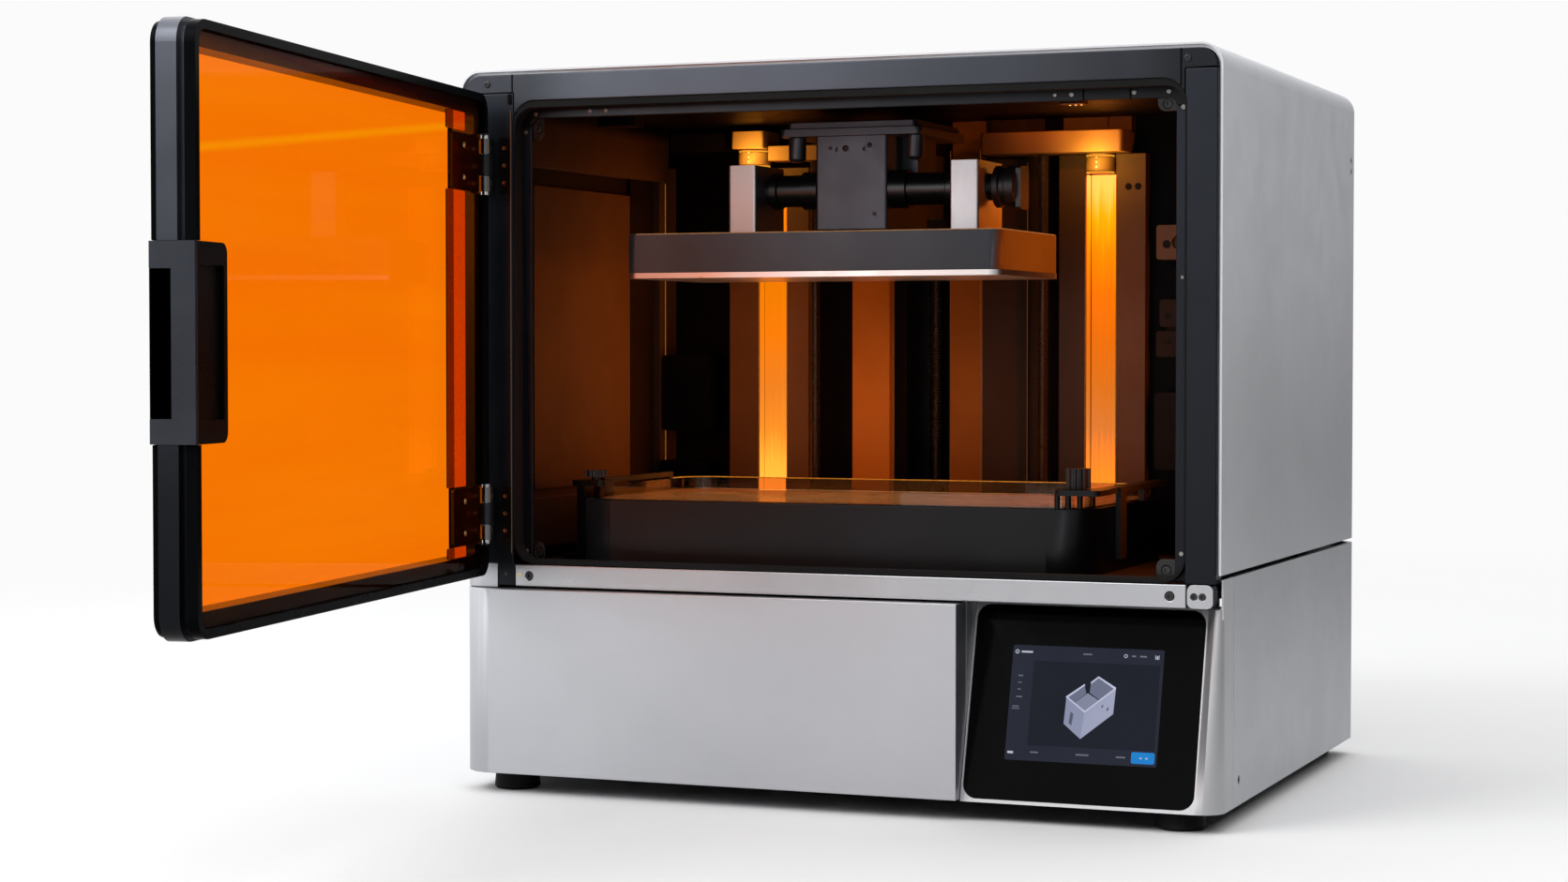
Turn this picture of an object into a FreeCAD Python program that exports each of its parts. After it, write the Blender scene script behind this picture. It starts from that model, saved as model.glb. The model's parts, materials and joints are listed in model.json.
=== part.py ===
import FreeCAD, Part
import os
import math
import Sketcher

# A bench-top resin printer: metal base with a tilted touch screen, a lit print
# chamber behind an amber door, a shallow resin tank on an exposure plinth and a
# build platform carried by a screw-driven vertical axis.
# Frame: +Z up, front toward -Y, right toward +X, origin on the table under the
# middle of the four feet. Millimetres. The door is modelled standing open.

os.makedirs("parts", exist_ok=True)
doc = FreeCAD.newDocument("resin_printer")
sheet = doc.addObject("Spreadsheet::Sheet", "dims")
Vec = FreeCAD.Vector
Rot = FreeCAD.Rotation


# ---------------------------------------------------------------- dimensions
class Q:
    """A length with its value and the cell formula that drives it."""

    def __init__(self, v, t):
        self.v, self.t = v, t

    def __add__(self, o):
        o = q(o)
        return Q(self.v + o.v, "(%s + %s)" % (self.t, o.t))

    def __radd__(self, o):
        return q(o) + self

    def __sub__(self, o):
        o = q(o)
        return Q(self.v - o.v, "(%s - %s)" % (self.t, o.t))

    def __rsub__(self, o):
        return q(o) - self

    def __mul__(self, k):
        return Q(self.v * k, "(%s * %s)" % (self.t, lit(k)))

    def __truediv__(self, k):
        return Q(self.v / k, "(%s / %s)" % (self.t, lit(k)))

    def __neg__(self):
        return Q(-self.v, "(0 - %s)" % self.t)


def lit(v):
    s = "%.6f" % v
    s = s.rstrip("0").rstrip(".") if "." in s else s
    return "(%s)" % s if v < 0 else s


def q(v):
    return v if isinstance(v, Q) else Q(float(v), lit(float(v)))


class Bag:
    pass


d = Bag()
TABLE = [
    ("half_w", 260), ("front_y", -205), ("rear_y", 205), ("foot_h", 12), ("top_z", 482),
    ("split_lo", 155.5), ("split_hi", 158.5), ("skin", 3), ("case_r", 14), ("pan_t", 3),
    ("foot_r", 15.5), ("foot_x", 230), ("foot_yf", -183), ("foot_yr", 183), ("foot_bore", 5),
    ("cover_front", -213), ("cover_back", -193), ("cover_x0", -260), ("cover_x1", 93.2), ("cover_z0", 13),
    ("cover_z1", 136.5), ("cover_wall", 2.5), ("cover_r", 24),
    ("surround_back", -171.5), ("surround_top", 137), ("bezel_x0", 95), ("bezel_x1", 243.2), ("bezel_len", 124),
    ("bezel_t", 4), ("bezel_r", 9), ("bezel_tilt", 15.3), ("disp_w", 98), ("disp_l", 73),
    ("sill_z0", 138), ("sill_z1", 152.5), ("sill_d", 12), ("sill_x0", -220), ("sill_seam", 238.5), ("sill_x1", 255),
    ("frame_d", 14), ("open_x0", -221.5), ("open_x1", 237.5), ("open_z1", 461), ("open_r", 16), ("seal_w", 4.4), ("lip_w", 11),
    ("floor_z", 152), ("liner_x0", -236), ("liner_x1", 241), ("ceil_z", 461), ("rear_wall_y", 74),
    ("axis_x", -27), ("slot_w", 32),
    ("col_w", 63.5), ("col_l", -179), ("col_r", 76), ("col_y", 62), ("col_top", 420), ("strip_w", 17),
    ("strip_l", -152.5), ("strip_r", 98.5), ("edge_w", 1.3), ("brkt_z0", 434.7), ("brkt_z1", 450), ("rod_r", 4),
    ("plinth_x0", -200.5), ("plinth_x1", 166), ("plinth_y0", -162), ("plinth_y1", 28), ("plinth_z", 194.5), ("plinth_r", 30),
    ("tank_x0", -194.5), ("tank_x1", 160), ("tank_y0", -156.5), ("tank_y1", 22), ("tank_z", 203), ("tank_t", 4.5), ("tank_r", 24),
    ("plate_x0", -165.4), ("plate_x1", 101), ("plate_y0", -148.5), ("plate_y1", -20), ("plate_z0", 344), ("plate_z1", 374), ("plate_skin", 3.6),
    ("plate_r", 8), ("trun_y", -69), ("trun_z", 405), ("trun_r", 9), ("post_w", 20), ("post_l", -112), ("post_rt", 48),
    ("screw_y", 96), ("screw_r", 6), ("rail_w", 12), ("rail_gap", 36),
    ("hinge_x", -238.5), ("hinge_y", -211), ("pin_r", 2.4), ("knuckle_r", 5), ("hinge_hi", 401), ("hinge_lo", 169), ("hinge_l", 35),
    ("door_u0", 6.5), ("door_u1", 478), ("door_z0", 145), ("door_z1", 466), ("door_rail", 15), ("door_r", 14), ("door_open", 80.438),
    ("door_out", -231.5), ("door_mid", -227.4), ("door_neck", -216), ("door_seat", -212.5), ("door_in", -206.3), ("panel_t", 3),
    ("handle_z0", 247), ("handle_z1", 351), ("handle_u", 437.5), ("fan_x", 150), ("fan_z", 330), ("fan_r", 38),
]
for row, (alias, value) in enumerate(TABLE, 1):
    sheet.set("A%d" % row, alias)
    sheet.set("B%d" % row, repr(value))
    sheet.setAlias("B%d" % row, alias)
    setattr(d, alias, Q(float(value), "dims." + alias))
doc.recompute()

NODES = {}


# ------------------------------------------------------------------- helpers
def bind(obj, prop, val):
    val = q(val)
    if "dims." in val.t:
        obj.setExpression(prop, val.t)
    else:
        setattr(obj, prop, val.v)


def place(obj, x, y, z, rot=None):
    x, y, z = q(x), q(y), q(z)
    obj.Placement = FreeCAD.Placement(Vec(x.v, y.v, z.v), rot or Rot())
    for axis, val in (("x", x), ("y", y), ("z", z)):
        if "dims." in val.t:
            obj.setExpression("Placement.Base." + axis, val.t)
    return obj


def box(x0, x1, y0, y1, z0, z1, name="block"):
    o = doc.addObject("Part::Box", name)
    bind(o, "Length", q(x1) - x0)
    bind(o, "Width", q(y1) - y0)
    bind(o, "Height", q(z1) - z0)
    return place(o, x0, y0, z0)


AX = {"z": Rot(), "x": Rot(Vec(0, 1, 0), 90), "y": Rot(Vec(1, 0, 0), -90)}


def cyl(r, length, x, y, z, axis="z", name="round"):
    """A cylinder that starts at the point and runs toward plus along its axis."""
    o = doc.addObject("Part::Cylinder", name)
    bind(o, "Radius", r)
    bind(o, "Height", length)
    return place(o, x, y, z, AX[axis])


ROLE = {"z": "XY_Plane", "y": "XZ_Plane", "x": "YZ_Plane"}


def new_sketch(body, role, name):
    sk = body.newObject("Sketcher::SketchObject", name)
    plane = [f for f in body.Origin.OriginFeatures if f.Role == role][0]
    sk.AttachmentSupport = [(plane, "")]
    sk.MapMode = "FlatFace"
    return sk


def rounded_rectangle(sk, w, l, r):
    """A centred rectangle with equal corner arcs, held by width, depth and radius."""
    w, l, r = q(w), q(l), q(r)
    a, b, c = w.v / 2, l.v / 2, r.v
    up = Vec(0, 0, 1)

    def arc(cx, cy, a0):
        return Part.ArcOfCircle(Part.Circle(Vec(cx, cy, 0), up, c), math.radians(a0), math.radians(a0 + 90))

    geo = [
        Part.LineSegment(Vec(-a + c, -b, 0), Vec(a - c, -b, 0)), arc(a - c, -b + c, 270),
        Part.LineSegment(Vec(a, -b + c, 0), Vec(a, b - c, 0)), arc(a - c, b - c, 0),
        Part.LineSegment(Vec(a - c, b, 0), Vec(-a + c, b, 0)), arc(-a + c, b - c, 90),
        Part.LineSegment(Vec(-a, b - c, 0), Vec(-a, -b + c, 0)), arc(-a + c, -b + c, 180),
    ]
    sk.addGeometry(geo, False)
    C = Sketcher.Constraint
    for i in range(8):
        sk.addConstraint(C("Tangent", i, 2, (i + 1) % 8, 1))
    sk.addConstraint([C("Horizontal", 0), C("Vertical", 2), C("Horizontal", 4), C("Vertical", 6)])
    sk.addConstraint([C("Equal", 1, 3), C("Equal", 3, 5), C("Equal", 5, 7)])
    sk.addConstraint(C("Symmetric", 0, 1, 4, 1, -1, 1))
    for nm, con in (("width", C("DistanceX", 6, 1, 2, 1, w.v)), ("depth", C("DistanceY", 0, 1, 4, 1, l.v)), ("corner", C("Radius", 1, r.v))):
        i = sk.addConstraint(con)
        sk.renameConstraint(i, nm)
    for nm, val in (("width", w), ("depth", l), ("corner", r)):
        if "dims." in val.t:
            sk.setExpression("Constraints." + nm, val.t)


def slab(axis, a0, a1, b0, b1, c0, c1, r, name="slab", rot=None, centre=None):
    """A rounded-rectangle pad: a across, b up (or deep), c along the pad's axis."""
    a0, a1, b0, b1, c0, c1 = q(a0), q(a1), q(b0), q(b1), q(c0), q(c1)
    body = doc.addObject("PartDesign::Body", name)
    sk = new_sketch(body, ROLE[axis], name + "_profile")
    rounded_rectangle(sk, a1 - a0, b1 - b0, r)
    pad = body.newObject("PartDesign::Pad", name + "_pad")
    pad.Profile = sk
    bind(pad, "Length", c1 - c0)
    pad.SideType = "Symmetric"
    ma, mb, mc = (a0 + a1) / 2, (b0 + b1) / 2, (c0 + c1) / 2
    x, y, z = {"z": (ma, mb, mc), "y": (ma, mc, mb), "x": (mc, ma, mb)}[axis]
    if centre is not None:
        x, y, z = centre
    place(body, x, y, z, rot)
    return body


def turned(points, x, y, z, axis="z", name="turned"):
    """A turned piece: (radius, height) points joined by straight lines, spun round its axis."""
    body = doc.addObject("PartDesign::Body", name)
    sk = new_sketch(body, "XZ_Plane", name + "_profile")
    pts = [(q(r), q(h)) for r, h in points]
    n = len(pts)
    sk.addGeometry([Part.LineSegment(Vec(pts[i][0].v, pts[i][1].v, 0), Vec(pts[(i + 1) % n][0].v, pts[(i + 1) % n][1].v, 0)) for i in range(n)], False)
    C = Sketcher.Constraint
    for i in range(n):
        sk.addConstraint(C("Coincident", i, 2, (i + 1) % n, 1))
    for i, (r, h) in enumerate(pts):
        for kind, val, tag in (("DistanceX", r, "r"), ("DistanceY", h, "h")):
            k = sk.addConstraint(C(kind, -1, 1, i, 1, val.v))
            if "dims." in val.t:
                sk.renameConstraint(k, "%s%d_size" % (tag, i))
                sk.setExpression("Constraints.%s%d_size" % (tag, i), val.t)
    rev = body.newObject("PartDesign::Revolution", name + "_turn")
    rev.Profile = sk
    rev.ReferenceAxis = (sk, ["V_Axis"])
    rev.Angle = 360
    return place(body, x, y, z, AX[axis])


def fuse(*objs, name="joined"):
    o = doc.addObject("Part::MultiFuse", name)
    o.Shapes = list(objs)
    o.Refine = True
    return o


def cut(base, *tools, name="trimmed"):
    out = base
    for t in tools:
        o = doc.addObject("Part::Cut", name)
        o.Base, o.Tool = out, t
        out = o
    return out


def group(*objs, name="set"):
    o = doc.addObject("Part::Compound", name)
    o.Links = list(objs)
    return o


def common(a, b, name="shared"):
    o = doc.addObject("Part::Common", name)
    o.Base, o.Tool = a, b
    return o


def rounded(base, radius, pick, name="soft"):
    """Rounds the straight edges that pick(middle, direction) chooses."""
    doc.recompute()
    o = doc.addObject("Part::Fillet", name)
    o.Base = base
    edges = []
    for i, e in enumerate(base.Shape.Edges, 1):
        m = e.valueAt((e.FirstParameter + e.LastParameter) / 2)
        t = e.tangentAt((e.FirstParameter + e.LastParameter) / 2)
        if pick(m, t):
            edges.append((i, radius, radius))
    o.Edges = edges
    return o


def node(name, obj):
    obj.Label = name
    NODES[name] = obj
    return obj


def tilted(axis_pt, angle, axis=Vec(0, 0, 1)):
    return FreeCAD.Placement(Vec(0, 0, 0), Rot(axis, angle), axis_pt)


W, F, B = d.half_w, d.front_y, d.rear_y

# ------------------------------------------------------------ base enclosure
# Flat pan that everything in the base stands on. The front edge steps back
# behind the cover and runs to the skin under the screen.
pan = cut(slab("z", -W + 3.2, W - 3.2, F + 3.2, B - 3.2, d.foot_h, d.foot_h + d.pan_t, d.case_r - d.skin, "pan_plate"),
          box(-W, d.cover_x1 + 0.2, F, d.cover_back + 0.4, d.foot_h - 1, d.foot_h + d.pan_t + 1),
          box(d.cover_x1, W, F, F + 6, d.foot_h - 1, d.foot_h + d.pan_t + 1))
for sx in (-1, 1):
    for fy in (d.foot_yf, d.foot_yr):
        pan = cut(pan, cyl(2.3, 10, d.foot_x * sx, fy, d.foot_h - 3, name="foot_hole"))
node("base_pan", pan)

# Folded skin around the base, open at the front where the cover, the screen
# surround and the sill close it.
ring = cut(slab("z", -W, W, F, B, d.foot_h, d.split_lo, d.case_r, "base_outer"),
           slab("z", -W + d.skin, W - d.skin, F + d.skin, B - d.skin, d.foot_h - 1, d.split_lo + 1, d.case_r - d.skin, "base_inner"))
ring = cut(ring,
           box(-W - 1, d.cover_x1 + 0.4, F - 1, d.cover_back + 0.2, d.foot_h - 1, d.surround_top + 0.2),
           box(d.cover_x1, W + 1, F - 1, d.surround_back + 0.3, d.foot_h - 1, d.split_lo + 1),
           box(d.sill_x0 - 13.3, W + 1, F - 1, F + d.sill_d + 0.3, d.surround_top, d.split_lo + 1),
           box(-W + 3.2, d.sill_x0, F - 1, F + d.frame_d + 0.5, d.sill_z1 + 0.3, d.split_lo + 1))
ring = cut(ring, box(-207, -149, B - 4, B + 1, 44, 76, "inlet_window"),
           group(*[box(60 + 9 * i, 64 + 9 * i, B - 4, B + 1, 40, 110) for i in range(16)], name="base_vents"))
ring = cut(ring, cyl(2.9, 4, W - 2.7, -157, 28, "x", "side_screw_seat"))
node("base_shell", ring)

# Shallow tray that closes the left part of the base front, with a rounded left corner.
tray = fuse(slab("z", d.cover_x0, 0, d.cover_front, d.cover_back + 40, d.cover_z0, d.cover_z1, d.cover_r, "cover_left"),
            box(-60, d.cover_x1, d.cover_front, d.cover_back + 40, d.cover_z0, d.cover_z1, "cover_right"), name="cover_block")
tray = cut(tray,
           box(d.cover_x0 - 1, d.cover_x1 + 1, d.cover_back, d.cover_back + 41, d.cover_z0 - 1, d.cover_z1 + 1),
           slab("z", d.cover_x0 + d.cover_wall, d.cover_x1 - d.cover_wall, d.cover_front + d.cover_wall, d.cover_back + 42,
                d.cover_z0 + d.cover_wall, d.cover_z1 - d.cover_wall, d.cover_r - d.cover_wall, "cover_hollow"))
node("front_cover", tray)

# Screen surround: the front right corner of the base with a tilted pocket.
tilt = math.radians(d.bezel_tilt.v)
nrm = Vec(0, -math.cos(tilt), math.sin(tilt))
upw = Vec(0, math.sin(tilt), math.cos(tilt))
foot_pt = Vec((d.bezel_x0.v + d.bezel_x1.v) / 2, d.front_y.v + 0.4, 14.2)
mid_pt = foot_pt + upw * (d.bezel_len.v / 2)
lean = Rot(Vec(1, 0, 0), -d.bezel_tilt.v)


def screen_slab(w, l, r, front, thick, name):
    """A plate square to the screen: front is how far its face stands off the glass plane."""
    p = mid_pt + nrm * (front - thick / 2)
    return slab("y", q(0) - q(w) / 2, q(w) / 2, q(0) - q(l) / 2, q(l) / 2, 0, thick, r, name, lean, (p.x, p.y, p.z))


bez_w = d.bezel_x1 - d.bezel_x0
face = 0.8


def face_y(z):
    """Where the sloped face of the surround lies at a height."""
    return foot_pt.y + (z - foot_pt.z) * math.tan(tilt) - face / math.cos(tilt)


def surround_outline(z, cx, cy, r, name):
    """Plan of the surround at one height: straight face, a wing that runs to the round corner, the side and the back."""
    yf, back, x0, x1, xs = face_y(z.v), d.surround_back.v + 14, d.cover_x1.v + 0.4, d.bezel_x1.v + 1.1, d.half_w.v
    dx, dy = cx - x1, cy - yf
    dist = math.hypot(dx, dy)
    a = math.atan2(dy, dx) - math.asin(min(1.0, r / dist))
    run = math.sqrt(max(0.0, dist * dist - r * r))
    start = Vec(x1 + run * math.cos(a), yf + run * math.sin(a), 0)
    end = Vec(xs, cy, 0)
    a0 = math.atan2(start.y - cy, start.x - cx)
    mid = Vec(cx + r * math.cos(a0 / 2), cy + r * math.sin(a0 / 2), 0)
    pts = [Vec(x0, back, 0), Vec(x0, yf, 0), Vec(x1, yf, 0), start, end, Vec(xs, back, 0)]
    sk = doc.addObject("Sketcher::SketchObject", name)
    place(sk, 0, 0, z)
    for i in range(6):
        p0, p1 = pts[i], pts[(i + 1) % 6]
        sk.addGeometry(Part.Arc(p0, mid, p1) if i == 3 else Part.LineSegment(p0, p1), False)
    return sk


sur = doc.addObject("Part::Loft", "surround_block")
sur.Sections = [surround_outline(d.foot_h, 246.0, -191.4, 14.0, "surround_foot_plan"), surround_outline(d.surround_top, 257.0, -196.5, 3.0, "surround_top_plan")]
sur.Solid = True
sur.Ruled = True
tab = fuse(box(W - 1.2, W, -198.5, d.surround_back - 0.2, d.surround_top - 6, d.split_lo, "side_tab"),
           cut(box(W - 4.2, W - 1.1, -197, d.surround_back - 2, d.surround_top - 1, d.surround_top + 3, "tab_root"),
               cyl(3, 40, W - 4.2, -205, d.surround_top + 3, "y", "tab_hollow")), name="tab_set")
sur = fuse(sur, tab, name="surround_stock")
sur = cut(sur,
          cyl(3.2, 9, d.foot_x, d.foot_yf, d.foot_h, name="foot_screw_room"),
          box(W - 3.2, W + 1, d.surround_back, d.surround_back + 50, 0, 200),
          box(d.cover_x1, W - 3, d.surround_back + 14, d.surround_back + 50, 0, 200),
          slab("z", d.cover_x1 - 30, W - 3.1, F + 3.1, d.surround_back + 50, d.foot_h - 1, d.foot_h + d.pan_t + 0.2, d.case_r - d.skin, "pan_room"),
          screen_slab(bez_w + 0.6, d.bezel_len + 0.6, d.bezel_r + 0.3, 70, 70 + 4.2, "pocket"),
          box(d.bezel_x0 + 10, d.bezel_x1 - 10, F + 8, d.surround_back + 20, d.foot_h + 20, d.surround_top - 12))
sur = cut(sur, box(d.cover_x1 - 1, W - 20, d.surround_back, d.surround_back + 20, 0, 88),
          box(W - 22, W + 1, d.surround_back + 0.01, d.surround_back + 20, 0, d.surround_top + 1))
node("screen_surround", sur)

node("screen_bezel", cut(screen_slab(bez_w, d.bezel_len, d.bezel_r, 0, 4.0, "bezel_plate"),
                         screen_slab(d.disp_w + 0.2, d.disp_l + 0.2, 1.2, 1, 6.0, "bezel_window")))
node("display_panel", screen_slab(d.disp_w, d.disp_l, 1.1, -0.25, 3.5, "display_plate"))

# Feet: turned rubber with a stepped bore, and their screws.
feet, fscrews = [], []
for sx in (-1, 1):
    for fy in (d.foot_yf, d.foot_yr):
        feet.append(turned([(d.foot_bore, 0), (d.foot_r - 1.5, 0), (d.foot_r, 1.5), (d.foot_r - 1, d.foot_h), (2.3, d.foot_h), (2.3, 10.2), (4.2, 10.2), (4.2, 6), (d.foot_bore, 6)],
                           d.foot_x * sx, fy, 0, name="foot"))
        fscrews.append(turned([(1.5, 6.4), (3.8, 6.4), (3.8, 10.2), (2.0, 10.2), (2.0, 19), (0, 19), (0, 8.6), (1.5, 8.6)],
                              d.foot_x * sx, fy, 0, name="foot_screw"))
node("feet", group(*feet, name="foot_set"))
node("foot_screws", group(*fscrews, name="foot_screw_set"))

# Sill rail under the door opening, with its separate right end.
SILL_SCREWS = [-209.8, 227.9, 243.1, 248.4]
SZ = 145.2
rail = box(d.sill_x0, d.sill_seam - 0.3, F, F + d.sill_d, d.sill_z0, d.sill_z1, "sill_bar")
for x in SILL_SCREWS[:2]:
    rail = cut(rail, cyl(2.9, 3.2, x, F - 0.2, SZ, "y", "seat"))
node("sill_rail", rail)
cap = slab("y", d.sill_seam + 0.3, d.sill_x1, d.sill_z0, d.sill_z1, F, F + d.sill_d, 4, "sill_cap")
for x in SILL_SCREWS[2:]:
    cap = cut(cap, cyl(2.3, 3.2, x, F - 0.2, SZ, "y", "seat"))
node("sill_end_cap", cap)

# ------------------------------------------------------------ upper enclosure
def shell_pick(rr):
    def pick(m, t):
        along_y = abs(t.y) > 0.99 and m.z > 470
        along_z = abs(t.z) > 0.99 and m.y > 190
        along_x = abs(t.x) > 0.99 and m.y > 190 and m.z > 470
        return along_y or along_z or along_x
    return pick


hull = rounded(box(-W, W, F, B, d.split_hi, d.top_z, "case_block"), d.case_r.v, shell_pick(0), "case_outer")
core = rounded(box(-W + d.skin, W - d.skin, F - 5, B - d.skin, d.split_hi - 20, d.top_z - d.skin, "case_void"), d.case_r.v - d.skin.v, shell_pick(0), "case_inner")
rebate = rounded(box(-W + 1.2, W - 1.2, F - 5, F + 4, d.split_hi - 20, d.top_z - 1.2, "front_rebate"), d.case_r.v - 1.2, shell_pick(0), "front_gap")
shell = cut(hull, core, rebate, slab("y", -236, 236, 176, 464, B - 10, B + 2, 8, "rear_opening"))
for z in (425, 433):
    shell = cut(shell, cyl(2.3, 4, W - 2.7, 182, z, "x", "edge_screw_seat"))
node("upper_shell", shell)

# Rear panel, set behind the opening, with vents and a fan frame on its inside.
rp = box(-245.8, 245.8, B - 6, B - 3, 168, 467.6, "rear_plate")
vents = [box(-190 + 13 * i, -184 + 13 * i, B - 8, B - 1, 300, 420) for i in range(12)]
rp = cut(rp, group(*vents, name="vent_slots"), cyl(d.fan_r, 10, d.fan_x, B - 9, d.fan_z, "y", "fan_hole"))
frame_ring = cut(slab("y", d.fan_x - 43, d.fan_x + 43, d.fan_z - 43, d.fan_z + 43, B - 31, B - 6, 6, "fan_block"),
                 cyl(d.fan_r, 30, d.fan_x, B - 33, d.fan_z, "y", "fan_bore"))
guard = [box(d.fan_x - d.fan_r - 2, d.fan_x + d.fan_r + 2, B - 6, B - 4, d.fan_z - 1.2 + 11 * i, d.fan_z + 1.2 + 11 * i) for i in (-2, -1, 0, 1, 2)]
guard.append(box(d.fan_x - 1.2, d.fan_x + 1.2, B - 6, B - 4, d.fan_z - d.fan_r - 2, d.fan_z + d.fan_r + 2))
spider = [box(d.fan_x - d.fan_r - 2, d.fan_x + d.fan_r + 2, B - 31, B - 28, d.fan_z - 2, d.fan_z + 2), cyl(12, 3, d.fan_x, B - 31, d.fan_z, "y"),
          cyl(2.5, 20, d.fan_x, B - 30, d.fan_z, "y", "fan_pin")]
node("rear_panel", fuse(rp, frame_ring, *guard, *spider, name="rear_plate_set"))

blades = [turned([(2.9, 0), (13, 0), (13, 15), (11, 17), (2.9, 17)], d.fan_x, B - 27, d.fan_z, "y", "fan_hub")]
for i in range(7):
    bl = doc.addObject("Part::Box", "fan_blade")
    bl.Length, bl.Width, bl.Height = 25, 2.0, 17
    a = 360.0 / 7 * i
    spin = Rot(Vec(0, 1, 0), a) * Rot(Vec(1, 0, 0), 38)
    off = Rot(Vec(0, 1, 0), a).multVec(Vec(11.5, 8.5, 0)) - spin.multVec(Vec(0, 1.0, 8.5))
    bl.Placement = FreeCAD.Placement(Vec(d.fan_x.v + off.x, B.v - 27 + off.y, d.fan_z.v + off.z), spin)
    blades.append(bl)
node("fan_rotor", fuse(*blades, name="fan_wheel"))

# Door frame of the chamber: a top rail with the rounded inner corners and two stiles, with a thin lip round the back of the opening.
FB = F + d.frame_d
SEAM = 466.5


def frame_stock():
    ring = cut(slab("y", -W + 3.2, W - 3.2, 120, d.top_z - 3.2, F, FB, 12, "frame_plate"),
               slab("y", d.open_x0, d.open_x1, 100, d.open_z1, F - 1, FB + 1, d.open_r, "frame_opening"))
    lip = cut(slab("y", d.open_x0 - 2, d.open_x1 + 2, 120, d.open_z1 + 2, FB - 2, FB, 12, "lip_outer"),
              slab("y", d.open_x0 + d.lip_w - 2.5, d.open_x1 - d.lip_w + 1.5, 100, d.open_z1 - d.lip_w, FB - 3, FB + 1, 5, "lip_inner"))
    return cut(fuse(ring, lip, name="frame_stock"), box(-W, W, F - 1, FB + 1, 100, d.sill_z1 + 0.5))


def stile_zone(side, gap):
    """The room of one stile: beside the opening up to the seam, and the lip's upright below the rounded corner."""
    lo = d.open_z1 - d.open_r
    if side > 0:
        return (box(d.open_x1 - 1 - gap, W + 2, F - 2, FB + 2, 139, SEAM + gap, "stile_side"), box(100, W + 2, F - 2, FB + 2, 139, lo + gap, "stile_foot"))
    return (box(-W - 2, d.open_x0 + 1 + gap, F - 2, FB + 2, 139, SEAM + gap, "stile_side"), box(-W - 2, -100, F - 2, FB + 2, 139, lo + gap, "stile_foot"))


grooves = [box(d.open_x1 - 3.65, d.open_x1 - 3.35, F - 0.1, F + 0.4, SEAM - 10, 490, "rail_groove"),
           box(d.open_x0 - 0.15, d.open_x0 + 0.15, F - 0.1, F + 0.4, SEAM - 4, 490, "rail_groove")]
for gx in (169, 199):
    grooves.append(box(gx - 0.15, gx + 0.15, FB - 2.1, FB - 1.6, d.open_z1 - d.lip_w - 1, d.open_z1 - 0.2, "lip_groove"))
node("frame_top_rail", cut(frame_stock(), *stile_zone(-1, 0.15), *stile_zone(1, 0.15), *grooves))
node("frame_left_stile", fuse(common(frame_stock(), fuse(*stile_zone(-1, -0.15), name="left_zone")),
                              box(d.sill_x0 - 13, d.sill_x0 - 0.4, F, F + d.sill_d - 0.2, d.sill_z0 + 0.3, d.sill_z1 + 1, "stile_toe"), name="left_stile"))
node("frame_right_stile", common(frame_stock(), fuse(*stile_zone(1, -0.15), name="right_zone")))

# Rubber seal lining the opening in front of the lip, deepest under the top rail.
node("opening_seal", cut(slab("y", d.open_x0 + 0.1, d.open_x1 - 0.1, d.sill_z1 + 0.6, d.open_z1 - 0.1, F + 0.8, FB - 2.1, d.open_r - 0.1, "seal_outer"),
                         slab("y", d.open_x0 + 1.6, d.open_x1 - 1.2, d.sill_z1 + 3.6, d.open_z1 - d.seal_w, F - 1, FB + 4, d.open_r - 3, "seal_inner")))
# Corner gussets behind the lip, each with one screw seat.
GUSSETS = (("x1", 442, 460.6, 222, 446.4), ("x0", 436, 460.6, -209.2, 443), ("x1", 153, 167, 222, 160), ("x0", 153, 167, -209.2, 160))
gus = []
for side, z0, z1, sx, sz in GUSSETS:
    xa, xb = (d.open_x1 - 22, d.open_x1 + 2) if side == "x1" else (d.open_x0 - 8, d.open_x0 + 16)
    gus.append(cut(slab("y", xa, xb, z0, z1, FB + 0.2, FB + 3.2, 5, "gusset"), cyl(2.9, 2.8, sx, FB + 0.0, sz, "y", "seat")))
node("corner_gussets", group(*gus, name="gusset_set"))

# Case screws: socket heads sunk flush in their seats.
heads = []


def head(x, y, z, axis, sgn, r=2.6):
    """A socket head: seen face at the point, body running inward (sgn along the axis)."""
    n = 2.4
    if axis == "y":
        o = cut(cyl(r, n, x, q(y) + (0 if sgn > 0 else -n), z, "y", "head"), cyl(r * 0.5, 1.3, x, q(y) - 0.1, z, "y", "socket"))
    else:
        o = cut(cyl(r, n, q(x) - n, y, z, "x", "head"), cyl(r * 0.5, 1.3, q(x) - 1.2, y, z, "x", "socket"))
    heads.append(o)


for x in SILL_SCREWS[:2]:
    head(x, F + 0.4, SZ, "y", 1)
for x in SILL_SCREWS[2:]:
    head(x, F + 0.4, SZ, "y", 1, 2.1)
head(W - 0.3 + 0.1, -157, 28, "x", 1, 2.6)
for z in (425, 433):
    head(W - 0.1, 182, z, "x", 1, 2.0)

# ------------------------------------------------------------------- chamber
node("chamber_floor", cut(slab("z", -W + 3.2, W - 3.2, F + 13, B - 3.2, d.floor_z - 3, d.floor_z, d.case_r - d.skin, "deck"),
                          box(-158, 94, -140, -24, d.floor_z - 5, d.floor_z + 2, "light_path"),
                          box(d.axis_x - 70, d.axis_x + 70, d.rear_wall_y + 3.4, 127, d.floor_z - 5, d.floor_z + 2, "axis_well")))
liner = cut(box(d.liner_x0 - 2, d.liner_x1 + 2, FB + 6.4, d.rear_wall_y, d.floor_z, d.ceil_z + 2, "liner_outer"),
            box(d.liner_x0, d.liner_x1, FB + 5, d.rear_wall_y + 1, d.floor_z - 1, d.ceil_z, "liner_inner"))
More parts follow.
